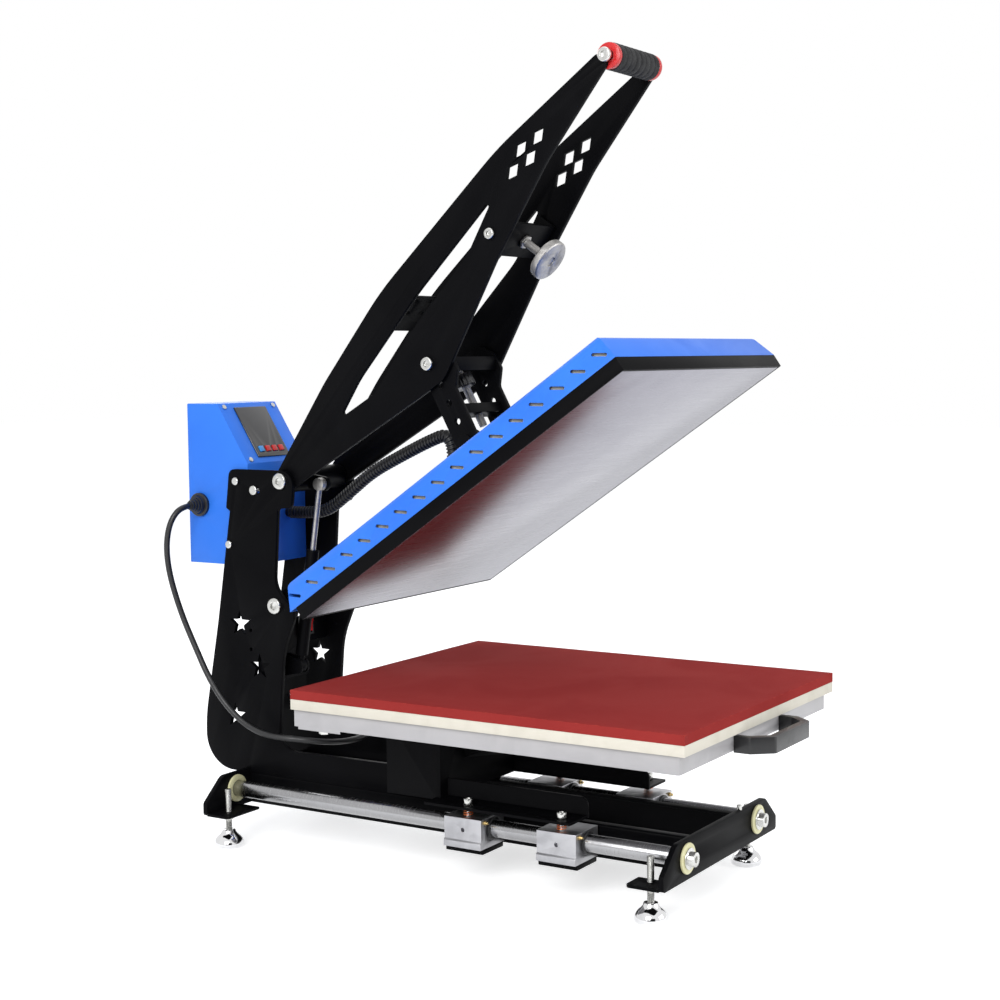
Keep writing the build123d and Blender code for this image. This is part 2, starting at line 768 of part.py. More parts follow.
KEY_ROW = KEY_EDGE - PANEL_L / 2
KEY_PLACES = [((i - 1.5) * KEY_PITCH, KEY_ROW) for i in range(4)]


def key(index):
    x, y = KEY_PLACES[index]
    depth = PANEL_T + KEY_H - KEY_TRAVEL
    return SLOPE * (Pos(x, y, KEY_TRAVEL + depth / 2) * Box(KEY_SIZE, KEY_SIZE, depth))


def box_screws():
    pieces = []
    for along in (5 - SLOPE_LENGTH / 2, SLOPE_LENGTH / 2 - 6):
        for side in (-1, 1):
            place = Pos(side * (BOX_HALF_W - SCREW_INSET), along, SCREW_HEAD_H / 2)
            pieces.append(SLOPE * (place * Cylinder(SCREW_HEAD_R, SCREW_HEAD_H)))
    return pieces


def cable_gland():
    """Round strain relief on the near side of the box."""
    seat = -BOX_HALF_W
    body = rod((seat, GLAND_Y, GLAND_Z), (-1, 0, 0), GLAND_R, GLAND_HEX_L)
    neck = Plane(origin=(seat - GLAND_HEX_L, GLAND_Y, GLAND_Z), z_dir=(-1, 0, 0))
    body += neck * Cone(GLAND_R * 0.8, CORD_R + 3, GLAND_NECK_L, align=(Align.CENTER, Align.CENTER, Align.MIN))
    return body - rod((GLAND_END_X, GLAND_Y, GLAND_Z), ALONG_X, CORD_R, GLAND_NECK_L)


# Mains cable


def coil_place(t):
    """Point of the put-away cable after t turns: in on the floor, a climb, out on top."""
    inner = COIL_R - COIL_PITCH * COIL_TURNS
    climbed = min(max((t - COIL_TURNS) / COIL_CLIMB, 0), 1)
    radius = inner + COIL_PITCH * max(COIL_TURNS - t, t - COIL_TURNS - COIL_CLIMB, 0)
    rise = (1 - math.cos(math.pi * climbed)) / 2
    angle = math.pi * (1 - 2 * t)
    return Vector(COIL_X + radius * math.cos(angle), COIL_Y + radius * math.sin(angle),
                  CORD_FLOOR + COIL_PITCH * rise)


CORD_FLOOR = CORD_R + CORD_LIFT
COIL_ALL = 2 * COIL_TURNS + COIL_CLIMB
COIL_START_WAY = (coil_place(0.001) - coil_place(0)).normalized()
COIL_END_WAY = (coil_place(COIL_ALL) - coil_place(COIL_ALL - 0.001)).normalized()
COIL_START = coil_place(0) - COIL_START_WAY * 2 * CORD_R
COIL_END = coil_place(COIL_ALL) + COIL_END_WAY * 2 * CORD_R
GLAND_END_X = -BOX_HALF_W - GLAND_HEX_L - GLAND_NECK_L

CABLE_ROUTE = [
    (GLAND_END_X, GLAND_Y, GLAND_Z), (-93, 393, 416), (-104, 398, 404), (-108, 403, 386),
    (-108, 406, 362), (-106, 404, 334), (-102, 398, 304), (-98, 388, 272), (-95, 374, 241),
    (-93, 355, 203), (-92, 331, 172), (-90, 302, 148), (-88, 270, 136), (-83, 240, 134),
    (-71, 215, 132), (-49, 198, 127), (-20, 190, 124), (12, 189, 124), (39, 195, 127),
    (61, 206, 128), (74, 219, 120), (75, 231, 99), (74, 242, 73), (73.5, 252, 46), (73.5, 264, 22),
    (74, 283, 6.5), (75, 308, 4.25)]


def tube_along(points, radius):
    """Round tube along straight runs joined by arcs as large as the runs allow."""
    spots = [Vector(*point) for point in points]
    radii = []
    for before, corner, after in zip(spots, spots[1:], spots[2:]):
        turn = math.radians((corner - before).get_angle(after - corner))
        radii.append(0.45 * min((corner - before).length, (after - corner).length) / math.tan(turn / 2))
    path = FilletPolyline(*spots, radius=radii)
    section = Plane(origin=spots[0], z_dir=spots[1] - spots[0]) * Circle(radius)
    return sweep(section, path=path), path, radii


def mains_cable():
    last = [COIL_START - COIL_START_WAY * COIL_LEAD, COIL_START]
    return tube_along(CABLE_ROUTE + [tuple(point) for point in last], CORD_R)


def cable_coil():
    path = Wire(Line(COIL_START, coil_place(0)).edges() + wound_path(coil_place, COIL_ALL, 4).edges()
                + Line(coil_place(COIL_ALL), COIL_END).edges())
    return sweep(Plane(origin=COIL_START, z_dir=COIL_START_WAY) * Circle(CORD_R), path=path), path


def mains_plug():
    """Round earthed plug with a grip neck and two pins."""
    base = Plane(origin=COIL_END, z_dir=COIL_END_WAY)
    profile = outline((0, 0), (CORD_R + 2.5, 0, 1), (CORD_R + 4, 14), (PLUG_R, 18, 3),
                      (PLUG_R, PLUG_L, 2), (0, PLUG_L))
    body = revolve(Plane.XZ * profile, axis=Axis.Z)
    for side in (-1, 1):
        body += rod((side * PIN_SPREAD, 0, PLUG_L), UP, PLUG_PIN_R, PIN_L)
    return base * body


# Lever


def diamond(y, z):
    shape = Polygon((DIAMOND_L / 2, 0), (0, DIAMOND_W / 2), (-DIAMOND_L / 2, 0), (0, -DIAMOND_W / 2))
    return Pos(y, z) * Rot(0, 0, DIAMOND_LEAN) * shape


def lever_plate():
    """Curved arm with a long window, four diamonds and its pivot holes."""
    face = outline(*LEVER_OUTLINE) - outline(*LEVER_WINDOW)
    for y, z in DIAMONDS:
        face -= diamond(y, z)
    plate = slab_x(face, LEVER_OUT - PLATE_T, LEVER_OUT)
    plate -= hole_x(LEVER_Y, LEVER_Z, SHAFT_R)
    plate -= hole_x(TOGGLE_Y, TOGGLE_Z, PIN_R)
    plate -= hole_x(GRIP_Y, GRIP_Z, GRIP_SHAFT_R)
    plate -= hole_x(TIE_BOLT_Y, TIE_BOLT_Z, TIE_BOLT_R)
    return plate


LEVER_IN = LEVER_OUT - PLATE_T


def lever_pivot_tube():
    """Tube between the arms with the ear that the lift spring pushes."""
    tube = ring((-LEVER_IN, LEVER_Y, LEVER_Z), ALONG_X, PIVOT_TUBE_R, SHAFT_R, 2 * LEVER_IN)
    way = Vector(GAS_TOP_Y - LEVER_Y, GAS_TOP_Z - LEVER_Z).normalized()
    aside = Vector(-way.Y, way.X)
    tip = Vector(GAS_TOP_Y, GAS_TOP_Z) + way * GAS_EAR_R
    root = Vector(LEVER_Y, LEVER_Z) + way * (SHAFT_R + 3)
    wide = aside * GAS_EAR_R
    face = outline((tip.X + wide.X, tip.Y + wide.Y, GAS_EAR_R - 1),
                   (tip.X - wide.X, tip.Y - wide.Y, GAS_EAR_R - 1),
                   (root.X - wide.X, root.Y - wide.Y), (root.X + wide.X, root.Y + wide.Y))
    low = GAS_X + GAS_EYE_T / 2 + SIDE_GAP
    return tube + slab_x(face, low, low + PLATE_T)


def headed_shaft(y, z, radius, head_r):
    """Shaft across the lever with a socket head outside each plate."""
    shaft = rod((-LEVER_OUT, y, z), ALONG_X, radius - RUN_CLEAR, 2 * LEVER_OUT)
    for side in (-1, 1):
        shaft += socket_head((side * LEVER_OUT, y, z), side, head_r)
    return shaft


def lever_bolts():
    return [headed_shaft(TOGGLE_Y, TOGGLE_Z, PIN_R, BOLT_HEAD_R),
            headed_shaft(GRIP_Y, GRIP_Z, GRIP_SHAFT_R, BOLT_HEAD_R),
            headed_shaft(TIE_BOLT_Y, TIE_BOLT_Z, TIE_BOLT_R, BOLT_HEAD_R - 1.5)]


def closed_lever_point(y, z):
    return turn_point(y, z, LEVER_TURN, LEVER_Y, LEVER_Z)


def lever_opened(shape):
    return turned(shape, -LEVER_TURN, LEVER_Y, LEVER_Z)


def armature_bracket():
    """Channel between the arms, level when the lever is down."""
    bolt_y, bolt_z = closed_lever_point(TIE_BOLT_Y, TIE_BOLT_Z)
    low = bolt_z - CLAMP_DROP
    span = (ARMATURE_Y - CLAMP_W / 2, ARMATURE_Y + CLAMP_W / 2)
    web = block((-LEVER_IN, LEVER_IN), span, (low - CLAMP_T, low))
    flange = block((LEVER_IN - CLAMP_T, LEVER_IN), span, (low, low + CLAMP_FLANGE - CLAMP_T))
    bracket = web + flange + mirrored(flange)
    bracket -= hole_x(bolt_y, bolt_z, TIE_BOLT_R)
    bracket -= rod((0, ARMATURE_Y, low - CLAMP_T), UP, STEM_R, CLAMP_T)
    return lever_opened(bracket)


def armature_top():
    return MAGNET_TOP + MAGNET_GAP + ARMATURE_T


def armature_disc():
    """Steel disc on a threaded stem that the electromagnet holds."""
    bolt_z = closed_lever_point(TIE_BOLT_Y, TIE_BOLT_Z)[1]
    low = bolt_z - CLAMP_DROP
    top = armature_top()
    disc = rod((0, ARMATURE_Y, top - ARMATURE_T), UP, ARMATURE_R, ARMATURE_T)
    disc = chamfer(disc.edges().filter_by(GeomType.CIRCLE), 1.5)
    disc += rod((0, ARMATURE_Y, top), UP, STEM_R - RUN_CLEAR, low - top + JAM_NUT_H)
    for seat in (low - CLAMP_T - JAM_NUT_H, low):
        nut = extrude(RegularPolygon(STEM_NUT_R, 6), amount=JAM_NUT_H)
        disc += Pos(0, ARMATURE_Y, seat) * nut
    recess = Pos(0, ARMATURE_Y, top - ARMATURE_T) * Cylinder(6, 3)
    return lever_opened(disc - recess)


def vent_plate():
    """Cross plate with four holes along the spine of the arms."""
    plate = Box(2 * LEVER_IN, VENT_PLATE_L, VENT_PLATE_T)
    for side in (-1, 1):
        for along in VENT_HOLE_ROWS:
            plate -= Pos(side * VENT_HOLE_X, along, 0) * Cylinder(VENT_HOLE_R, 2 * VENT_PLATE_T)
    return Pos(0, *VENT_PLATE_PLACE) * Rot(VENT_PLATE_LEAN, 0, 0) * plate


def grip():
    """Foam grip with shallow rings."""
    half = LEVER_IN - GRIP_COLLAR
    body = ring((-half, GRIP_Y, GRIP_Z), ALONG_X, GRIP_R, GRIP_SHAFT_R, 2 * half)
    for i in range(GRIP_RINGS):
        x = (i + 1) * 2 * half / (GRIP_RINGS + 1) - half - GRIP_RING_W / 2
        body -= ring((x, GRIP_Y, GRIP_Z), ALONG_X, GRIP_R + 1, GRIP_R - GRIP_RING_DEPTH, GRIP_RING_W)
    return body


def grip_collar():
    return ring((LEVER_IN - GRIP_COLLAR, GRIP_Y, GRIP_Z), ALONG_X, GRIP_R - 0.5, GRIP_SHAFT_R, GRIP_COLLAR)


# Toggle link

LINK_IN = LINK_OUT - PLATE_T
LINK_DOWN = Vector(0, -math.sin(math.radians(LINK_LEAN)), -math.cos(math.radians(LINK_LEAN)))


def link_frame(distance):
    """Plane across the link at a distance below its upper pivot, local y to the front."""
    y, z = link_point(distance)
    return Plane(origin=(0, y, z), x_dir=ALONG_X, z_dir=LINK_DOWN)


def link_outline(*corners):
    """Face from (distance, aside, radius) corners of the link."""
    return outline(*[(*link_point(c[0], c[1]), c[2]) for c in corners])


def link_plate():
    w = LINK_HALF_W
    face = link_outline((-w, w, w - 1), (LINK_L + w, w, w - 1), (LINK_L + w, -w, w - 1),
                        (EAR_LOW + 18, -w, 10), (EAR_LOW, -EAR_OUT, 6), (3, -EAR_OUT, 6), (-w, -14, 12))
    plate = slab_x(face, LINK_IN, LINK_OUT) - hole_x(TOGGLE_Y, TOGGLE_Z, PIN_R)
    for distance in LINK_HOLES:
        plate -= hole_x(*link_point(distance), LINK_HOLE_R)
    return plate + rod((LINK_OUT, *link_point(LINK_L)), ALONG_X, BOLT_HEAD_R + 1, BOLT_HEAD_H)


def link_block():
    """Threaded cross block and the ear plate that tie the two link plates."""
    frame = link_frame(NUT_BLOCK_START)
    across = (Align.CENTER, Align.CENTER, Align.MIN)
    body = frame * Box(2 * LINK_IN, LINK_HALF_W, NUT_BLOCK_L, align=across)
    body -= rod(frame.origin, LINK_DOWN, SCREW_R, NUT_BLOCK_L)
    tie = Pos(0, TOGGLE_Y - EAR_OUT + EAR_TIE_T / 2, TOGGLE_Z) * Box(2 * LINK_IN, EAR_TIE_T, EAR_TIE_H)
    return [body, tie]


def pressure_screw():
    start = link_frame(SCREW_START).origin
    screw = rod(start, LINK_DOWN, SCREW_R - RUN_CLEAR, SCREW_END - SCREW_START)
    return chamfer(screw.edges().filter_by(GeomType.CIRCLE), 1)


def pressure_knob():
    """Knurled knob fixed on the screw."""
    face = Circle(KNOB_R) - Circle(SCREW_R - RUN_CLEAR)
    for i in range(KNURLS):
        face -= Rot(0, 0, 360 * i / KNURLS) * Pos(KNOB_R + KNURL_OUT, 0) * Circle(KNURL_R)
    return link_frame(KNOB_START) * extrude(face, amount=KNOB_H)


# Upper platen, drawn closed and then turned open


def heater_plate():
    inset = BAND_T + BAND_CLEAR
    return block((-PLATEN_W / 2 + inset, PLATEN_W / 2 - inset), (BED_FRONT + inset, PLATEN_REAR - inset),
                 (HEATER_Z, HEATER_Z + HEATER_T))


def insulation_board():
    inset = 4 * BAND_T
    return block((-PLATEN_W / 2 + inset, PLATEN_W / 2 - inset), (BED_FRONT + inset, PLATEN_REAR - inset),
                 (HEATER_Z + HEATER_T, COVER_TOP - 2 * COVER_T))


def platen_band():
    outer = block((-PLATEN_W / 2, PLATEN_W / 2), (BED_FRONT, PLATEN_REAR), (HEATER_Z, COVER_Z))
    inner = block((-PLATEN_W / 2 + BAND_T, PLATEN_W / 2 - BAND_T), (BED_FRONT + BAND_T, PLATEN_REAR - BAND_T),
                  (HEATER_Z, COVER_Z))
    return outer - inner


def cover_form(inset):
    """Tapered body of the cover, drawn in on every side by an inset."""
    low = PLATEN_W / 2 - inset
    front = BED_FRONT + inset
    rear = PLATEN_REAR + COVER_REAR_OVERHANG - inset
    lean = COVER_LEAN
    faces = []
    for z, draw in ((COVER_Z, 0), (COVER_TOP - inset, lean)):
        width = 2 * (low - draw)
        depth = rear - front - 2 * draw
        faces.append(Pos(0, (front + rear) / 2, z) * Rectangle(width, depth))
    return loft(faces, ruled=True)


def platen_cover():
    """Blue vented cover, open below, with slots along both sides."""
    outer = cover_form(0)
    outer = fillet(outer.edges().group_by(Axis.Z)[-1], COVER_EDGE_R)
    shell = outer - cover_form(COVER_T)
    z = COVER_Z + COVER_H * VENT_HEIGHT
    for i in range(VENT_COUNT):
        y = BED_FRONT + VENT_FRONT + i * VENT_PITCH
        slot = Pos(y, z) * SlotOverall(VENT_L, VENT_W, rotation=OPEN_ANGLE)
        shell -= slab_x(slot, -PLATEN_W, PLATEN_W)
    shell -= rod((HOSE_X, HOSE_FIT_Y, COVER_TOP - 2 * COVER_T), UP, HOSE_BORE_R, 3 * COVER_T)
    return shell


def toggle_foot_closed():
    return turn_point(*link_point(LINK_L), OPEN_ANGLE, HINGE_Y, HINGE_Z)


BRIDGE_BASE_TOP = COVER_TOP + BRIDGE_T


def bridge_plate():
    """Long plate with the hinge eye behind, a low bar and the toggle eye."""
    foot_y, foot_z = toggle_foot_closed()
    eye = HINGE_EYE_R
    ear = TOGGLE_EYE_R
    flank = TOGGLE_EYE_SPREAD * ear
    face = outline((BRIDGE_FRONT + 6, BRIDGE_BASE_TOP), (BRIDGE_REAR - 4, BRIDGE_BASE_TOP),
                   (BRIDGE_REAR + 6, COVER_TOP + 1), (HINGE_Y + eye, HINGE_Z - eye, eye - 1),
                   (HINGE_Y + eye, HINGE_Z + eye, eye - 1), (HINGE_Y - eye, HINGE_Z + eye, eye - 1),
                   (HINGE_Y - 2 * eye, BRIDGE_BAR_TOP, 12), (foot_y + flank, BRIDGE_BAR_TOP, 12),
                   (foot_y + ear, foot_z + ear, ear - 1), (foot_y - ear, foot_z + ear, ear - 1),
                   (foot_y - flank, BRIDGE_BAR_TOP, 12), (BRIDGE_FRONT + 6, BRIDGE_BAR_TOP, 6))
    low = BRIDGE_OUT - PLATE_T
    plate = slab_x(face, low, BRIDGE_OUT) - hole_x(HINGE_Y, HINGE_Z, HINGE_R)
    return plate + rod((low - TOGGLE_STUB, foot_y, foot_z), ALONG_X, PIN_R + 3, TOGGLE_STUB)


def platen_bridge():
    """Welded bridge: base plate on the cover and the two long plates."""
    half = BRIDGE_HALF_W
    base = slab_z(outline((-half, BRIDGE_FRONT, 12), (half, BRIDGE_FRONT, 12), (half, BRIDGE_REAR, 12),
                          (-half, BRIDGE_REAR, 12)), COVER_TOP, BRIDGE_BASE_TOP)
    plate = bridge_plate()
    return opened(base + plate + mirrored(plate))


def electromagnet():
    """Round holding magnet on the bridge."""
    low = BRIDGE_BASE_TOP
    high = MAGNET_TOP - low
    profile = outline((0, 0), (MAGNET_R - 3, 0), (MAGNET_R - 3, MAGNET_FOOT), (MAGNET_R, MAGNET_FOOT),
                      (MAGNET_R, high, 1.5), (0, high))
    body = revolve(Plane.XZ * profile, axis=Axis.Z)
    inner, outer = MAGNET_GROOVE
    groove = ring((0, 0, high - MAGNET_GROOVE_DEPTH), UP, outer, inner, MAGNET_GROOVE_DEPTH)
    return opened(Pos(0, ARMATURE_Y, low) * (body - groove))


def hose_fitting():
    body = ring((HOSE_X, HOSE_FIT_Y, COVER_TOP), UP, HOSE_FIT_R, HOSE_BORE_R, HOSE_FIT_H)
    return opened(chamfer(body.edges().filter_by(GeomType.CIRCLE).group_by(Axis.Z)[-1], 1))


def hose_route():
    """Points of the hose from the control box to the platen, in one upright plane."""
    foot = turn_point(HOSE_FIT_Y, COVER_TOP + HOSE_FIT_H, -OPEN_ANGLE, HINGE_Y, HINGE_Z)
    lead = turn_point(HOSE_FIT_Y, COVER_TOP + HOSE_FIT_H + HOSE_LEAD, -OPEN_ANGLE, HINGE_Y, HINGE_Z)
    return [(HOSE_X, y, z) for y, z in [(BOX_SLOPE_Y, HOSE_BOX_Z)] + HOSE_ROUTE + [lead, foot]]


def heater_hose():
    """Ribbed hose with its bore: a ruled loft through four circles for each rib."""
    path = tube_along(hose_route(), HOSE_BORE_R)[1]
    straight = 2 * HOSE_R
    count = int((path.length - 2 * straight) / RIB_PITCH)
    pitch = (path.length - 2 * straight) / count
    stations = [(0, HOSE_VALLEY_R)]
    for i in range(count):
        low = straight + i * pitch
        for share, radius in RIB_FORM:
            stations.append((low + share * pitch, radius))
    stations.append((path.length, HOSE_VALLEY_R))
    outer = loft([circle_on(path, along, radius) for along, radius in stations], ruled=True)
    return outer - tube_along(hose_route(), HOSE_BORE_R)[0], path


def circle_on(path, along, radius):
    share = along / path.length
    place = Plane(origin=path.position_at(share), x_dir=ALONG_X, z_dir=path.tangent_at(share))
    return place * Circle(radius)


# Gas spring

GAS_DOWN = Vector(0, GAS_FOOT_Y - GAS_TOP_Y, GAS_FOOT_Z - GAS_TOP_Z).normalized()


def gas_eye(y, z):
    return rod((GAS_X - GAS_EYE_T / 2, y, z), ALONG_X, GAS_EYE_R, GAS_EYE_T)


def gas_cylinder():
    """Closed cylinder with an eye below and a guide for the rod on top."""
    foot = Vector(GAS_X, GAS_FOOT_Y, GAS_FOOT_Z)
    body = rod(foot - GAS_DOWN * GAS_NECK_L, -GAS_DOWN, GAS_R, GAS_BODY_L - GAS_NECK_L)
    body += rod(foot, -GAS_DOWN, GAS_NECK_R, GAS_NECK_L) + gas_eye(GAS_FOOT_Y, GAS_FOOT_Z)
    low = GAS_NECK_L + GAS_WALL
    body -= rod(foot - GAS_DOWN * low, -GAS_DOWN, GAS_R - GAS_WALL, GAS_BODY_L - low - 4 * GAS_WALL)
    body -= rod(foot - GAS_DOWN * low, -GAS_DOWN, GAS_ROD_R + RUN_CLEAR, GAS_BODY_L)
    return body - rod((GAS_X - GAS_EYE_T / 2, GAS_FOOT_Y, GAS_FOOT_Z), ALONG_X, GAS_PIN_R, GAS_EYE_T)


def gas_rod():
    """Rod with its eye and the piston head inside the cylinder."""
    top = Vector(GAS_X, GAS_TOP_Y, GAS_TOP_Z)
    piston = top + GAS_DOWN * (GAS_ROD_L - GAS_PISTON_L)
    rod_body = rod(top, GAS_DOWN, GAS_ROD_R, GAS_ROD_L) + gas_eye(GAS_TOP_Y, GAS_TOP_Z)
    return rod_body + rod(piston, GAS_DOWN, GAS_R - GAS_WALL - 2 * RUN_CLEAR, GAS_PISTON_L)


# Drawer

BLOCK_YS = (BLOCK_FRONT_Y, BLOCK_FRONT_Y + BLOCK_ROW)


def at_blocks(piece):
    """The piece drawn at x = ROD_X, y = 0, put at the four blocks."""
    return [both_sides(Pos(0, y, 0) * piece) for y in BLOCK_YS]


def linear_block():
    """Aluminium bearing block with a waist above its lower strip."""
    half = BLOCK_W / 2
    low = BLOCK_BOTTOM
    waist = half - WAIST_INSET
    step = low + WAIST_LOW
    face = outline((ROD_X - half, low), (ROD_X + half, low), (ROD_X + half, step, 1),
                   (ROD_X + waist, step + WAIST_INSET), (ROD_X + waist, BLOCK_TOP, 1),
                   (ROD_X - waist, BLOCK_TOP, 1), (ROD_X - waist, step + WAIST_INSET), (ROD_X - half, step, 1))
    body = slab_y(face, -BLOCK_L / 2, BLOCK_L / 2)
    body -= rod((ROD_X, -BLOCK_L / 2, ROD_Z), ALONG_Y, BUSH_R, BLOCK_L)
    for side in (-1, 1):
        body -= rod((ROD_X + side * waist, 0, ROD_Z), (-side, 0, 0), BLOCK_HOLE_R, BLOCK_HOLE_DEPTH)
    return body


def linear_bush():
    return ring((ROD_X, -BLOCK_L / 2, ROD_Z), ALONG_Y, BUSH_R, ROD_R + BUSH_CLEAR, BLOCK_L)


def block_seals():
    seal = ring((ROD_X, BLOCK_L / 2, ROD_Z), ALONG_Y, SEAL_R, ROD_R + BUSH_CLEAR, SEAL_T)
    return [seal, mirror(seal, about=Plane.XZ)]


def block_strip():
    half = BLOCK_W / 2 - STRIP_INSET
    return block((ROD_X - half, ROD_X + half), (-BLOCK_L / 2, BLOCK_L / 2),
                 (BLOCK_BOTTOM - STRIP_H, BLOCK_BOTTOM))


def grease_nipple():
    seat = (ROD_X + NIPPLE_ASIDE, -BLOCK_L / 2, BLOCK_TOP - NIPPLE_DROP)
    return rod(seat, (0, -1, 0), NIPPLE_R, 2) + rod(seat, (0, -1, 0), NIPPLE_TIP_R, NIPPLE_L)


def carriage_bolt():
    body = rod((SPRING_X, 0, BLOCK_TOP), UP, CARRIAGE_BOLT_R, SPRING_GAP + FLANGE_T)
    head = rod((SPRING_X, 0, FLANGE_Z + FLANGE_T), UP, CARRIAGE_HEAD_R, CARRIAGE_HEAD_H)
    mouth = FLANGE_Z + FLANGE_T + CARRIAGE_HEAD_H - HEX_DEPTH
    head -= Pos(SPRING_X, 0, mouth) * extrude(RegularPolygon(HEX_DEPTH, 6), amount=HEX_DEPTH)
    return body + head


def press_spring():
    """Helical spring round a carriage bolt."""
    rise = SPRING_GAP - SPRING_WIRE - 0.1

    def place(t):
        angle = 2 * math.pi * t
        return Vector(SPRING_X + SPRING_R * math.cos(angle), SPRING_R * math.sin(angle),
                      BLOCK_TOP + SPRING_WIRE / 2 + 0.05 + rise * t / SPRING_TURNS)

    path = wound_path(place, SPRING_TURNS, 2)
    way = (place(0.001) - place(0)).normalized()
    spring = sweep(Plane(origin=place(0), z_dir=way) * Circle(SPRING_WIRE / 2), path=path)
    return spring, least_gap(place, SPRING_TURNS, SPRING_WIRE / 2)


def carriage_frame():
    """Welded carriage: flanges on the springs, low pan walls, pedestal and top plate."""
    flange = block((PAN_WALL_X - SHEET_T, PAN_FLANGE_OUT), (PAN_FRONT, PEDESTAL_Y),
                   (FLANGE_Z, FLANGE_Z + FLANGE_T))
    wall = block((PAN_WALL_X - SHEET_T, PAN_WALL_X), (PAN_FRONT, PEDESTAL_Y),
                 (FLANGE_Z, FLANGE_Z + PAN_WALL_H))
    wall = fillet(wall.edges().filter_by(Axis.X).group_by(Axis.Z)[-1].group_by(Axis.Y)[0], PAN_CORNER_R)
    side = block((PEDESTAL_HALF_W - SHEET_T, PEDESTAL_HALF_W), (PEDESTAL_Y, PEDESTAL_Y + PEDESTAL_DEPTH),
                 (FLANGE_Z, TRAY_BOTTOM))
    for y in BLOCK_YS:
        flange -= rod((SPRING_X, y, FLANGE_Z), UP, CARRIAGE_BOLT_R + CARRIAGE_HOLE_CLEAR, FLANGE_T)
    gusset = slab_x(outline((PEDESTAL_Y - PEDESTAL_T, TRAY_BOTTOM - SHEET_T - GUSSET_DROP),
                            (PEDESTAL_Y - PEDESTAL_T, TRAY_BOTTOM - SHEET_T),
                            (PEDESTAL_Y - PEDESTAL_T - GUSSET_REACH, TRAY_BOTTOM - SHEET_T)),
                    GUSSET_X - SHEET_T, GUSSET_X)
    front = block((-PEDESTAL_HALF_W, PEDESTAL_HALF_W), (PEDESTAL_Y - PEDESTAL_T, PEDESTAL_Y),
                  (FLANGE_Z, TRAY_BOTTOM))
    top = block((-PEDESTAL_HALF_W, PEDESTAL_HALF_W), (PAN_FRONT, PEDESTAL_Y + PEDESTAL_DEPTH),
                (TRAY_BOTTOM - SHEET_T, TRAY_BOTTOM))
    frame = front + top
    for piece in (flange, wall, side, gusset):
        frame += piece + mirrored(piece)
    return frame


TRAY_HALF_W = PLATEN_W / 2 - TRAY_INSET
TRAY_FRONT = BED_FRONT + TRAY_FRONT_INSET
LUG_X = TRAY_HALF_W - LUG_INSET


def tray():
    """Inverted steel pan with four long webs that seat on the carriage."""
    body = block((-TRAY_HALF_W, TRAY_HALF_W), (TRAY_FRONT, PLATEN_REAR), (TRAY_BOTTOM, TRAY_TOP))
    body = fillet(body.edges().filter_by(Axis.Z), TRAY_CORNER_R)
    body -= block((-TRAY_HALF_W + TRAY_T, TRAY_HALF_W - TRAY_T), (TRAY_FRONT + TRAY_T, PLATEN_REAR - TRAY_T),
                  (TRAY_BOTTOM, TRAY_TOP - TRAY_T))
    for x in WEBS:
        web = block((x - TRAY_T, x), (TRAY_FRONT + TRAY_T, PLATEN_REAR - TRAY_T),
                    (TRAY_BOTTOM, TRAY_TOP - TRAY_T))
        body += web + mirrored(web)
    inner = TRAY_HALF_W - LUG_REACH
    lug = slab_z(outline((TRAY_HALF_W, LUG_Y + 25), (TRAY_HALF_W, LUG_Y - 35), (inner, LUG_Y - 10, 6),
                         (inner, LUG_Y + 25, 6)), TRAY_BOTTOM - SHEET_T, TRAY_BOTTOM)
    lug -= rod((LUG_X, LUG_Y, TRAY_BOTTOM - SHEET_T), UP, STUD_R + THREAD_CLEAR, SHEET_T)
    body += lug + mirrored(lug)
    for side in (-1, 1):
        body -= rod((side * PULL_SCREW_X, TRAY_FRONT, PULL_Z), ALONG_Y, FIXING_R, TRAY_T)
    return body


PULL_Z = TRAY_BOTTOM - PULL_DROP + PULL_H / 2
PULL_SCREW_X = PULL_W / 2 - PULL_BAR / 2


def tray_screws():
    start = TRAY_FRONT - PULL_SCREW_L
    screw = rod((PULL_SCREW_X, start, PULL_Z), ALONG_Y, FIXING_R - RUN_CLEAR, PULL_SCREW_L + TRAY_T)
    screw += rod((PULL_SCREW_X, TRAY_FRONT + TRAY_T, PULL_Z), ALONG_Y, PULL_HEAD_R, SIDE_HEAD_H)
    seat = TRAY_BOTTOM - SHEET_T
    bolt = rod((LUG_X, LUG_Y, seat), UP, STUD_R, LUG_BOLT_L)
    head = extrude(RegularPolygon(LUG_BOLT_R, 6), amount=LUG_BOLT_HEAD)
    bolt += Pos(LUG_X, LUG_Y, seat - LUG_BOLT_HEAD) * head
    return both_sides(screw) + both_sides(bolt)


def heat_board():
    return block((-PLATEN_W / 2, PLATEN_W / 2), (BED_FRONT, PLATEN_REAR), (TRAY_TOP, BOARD_TOP))


def silicone_mat():
    mat = block((-PLATEN_W / 2, PLATEN_W / 2), (BED_FRONT, PLATEN_REAR), (BOARD_TOP, BED_TOP))
    return fillet(mat.edges().filter_by(Axis.Z), 2)


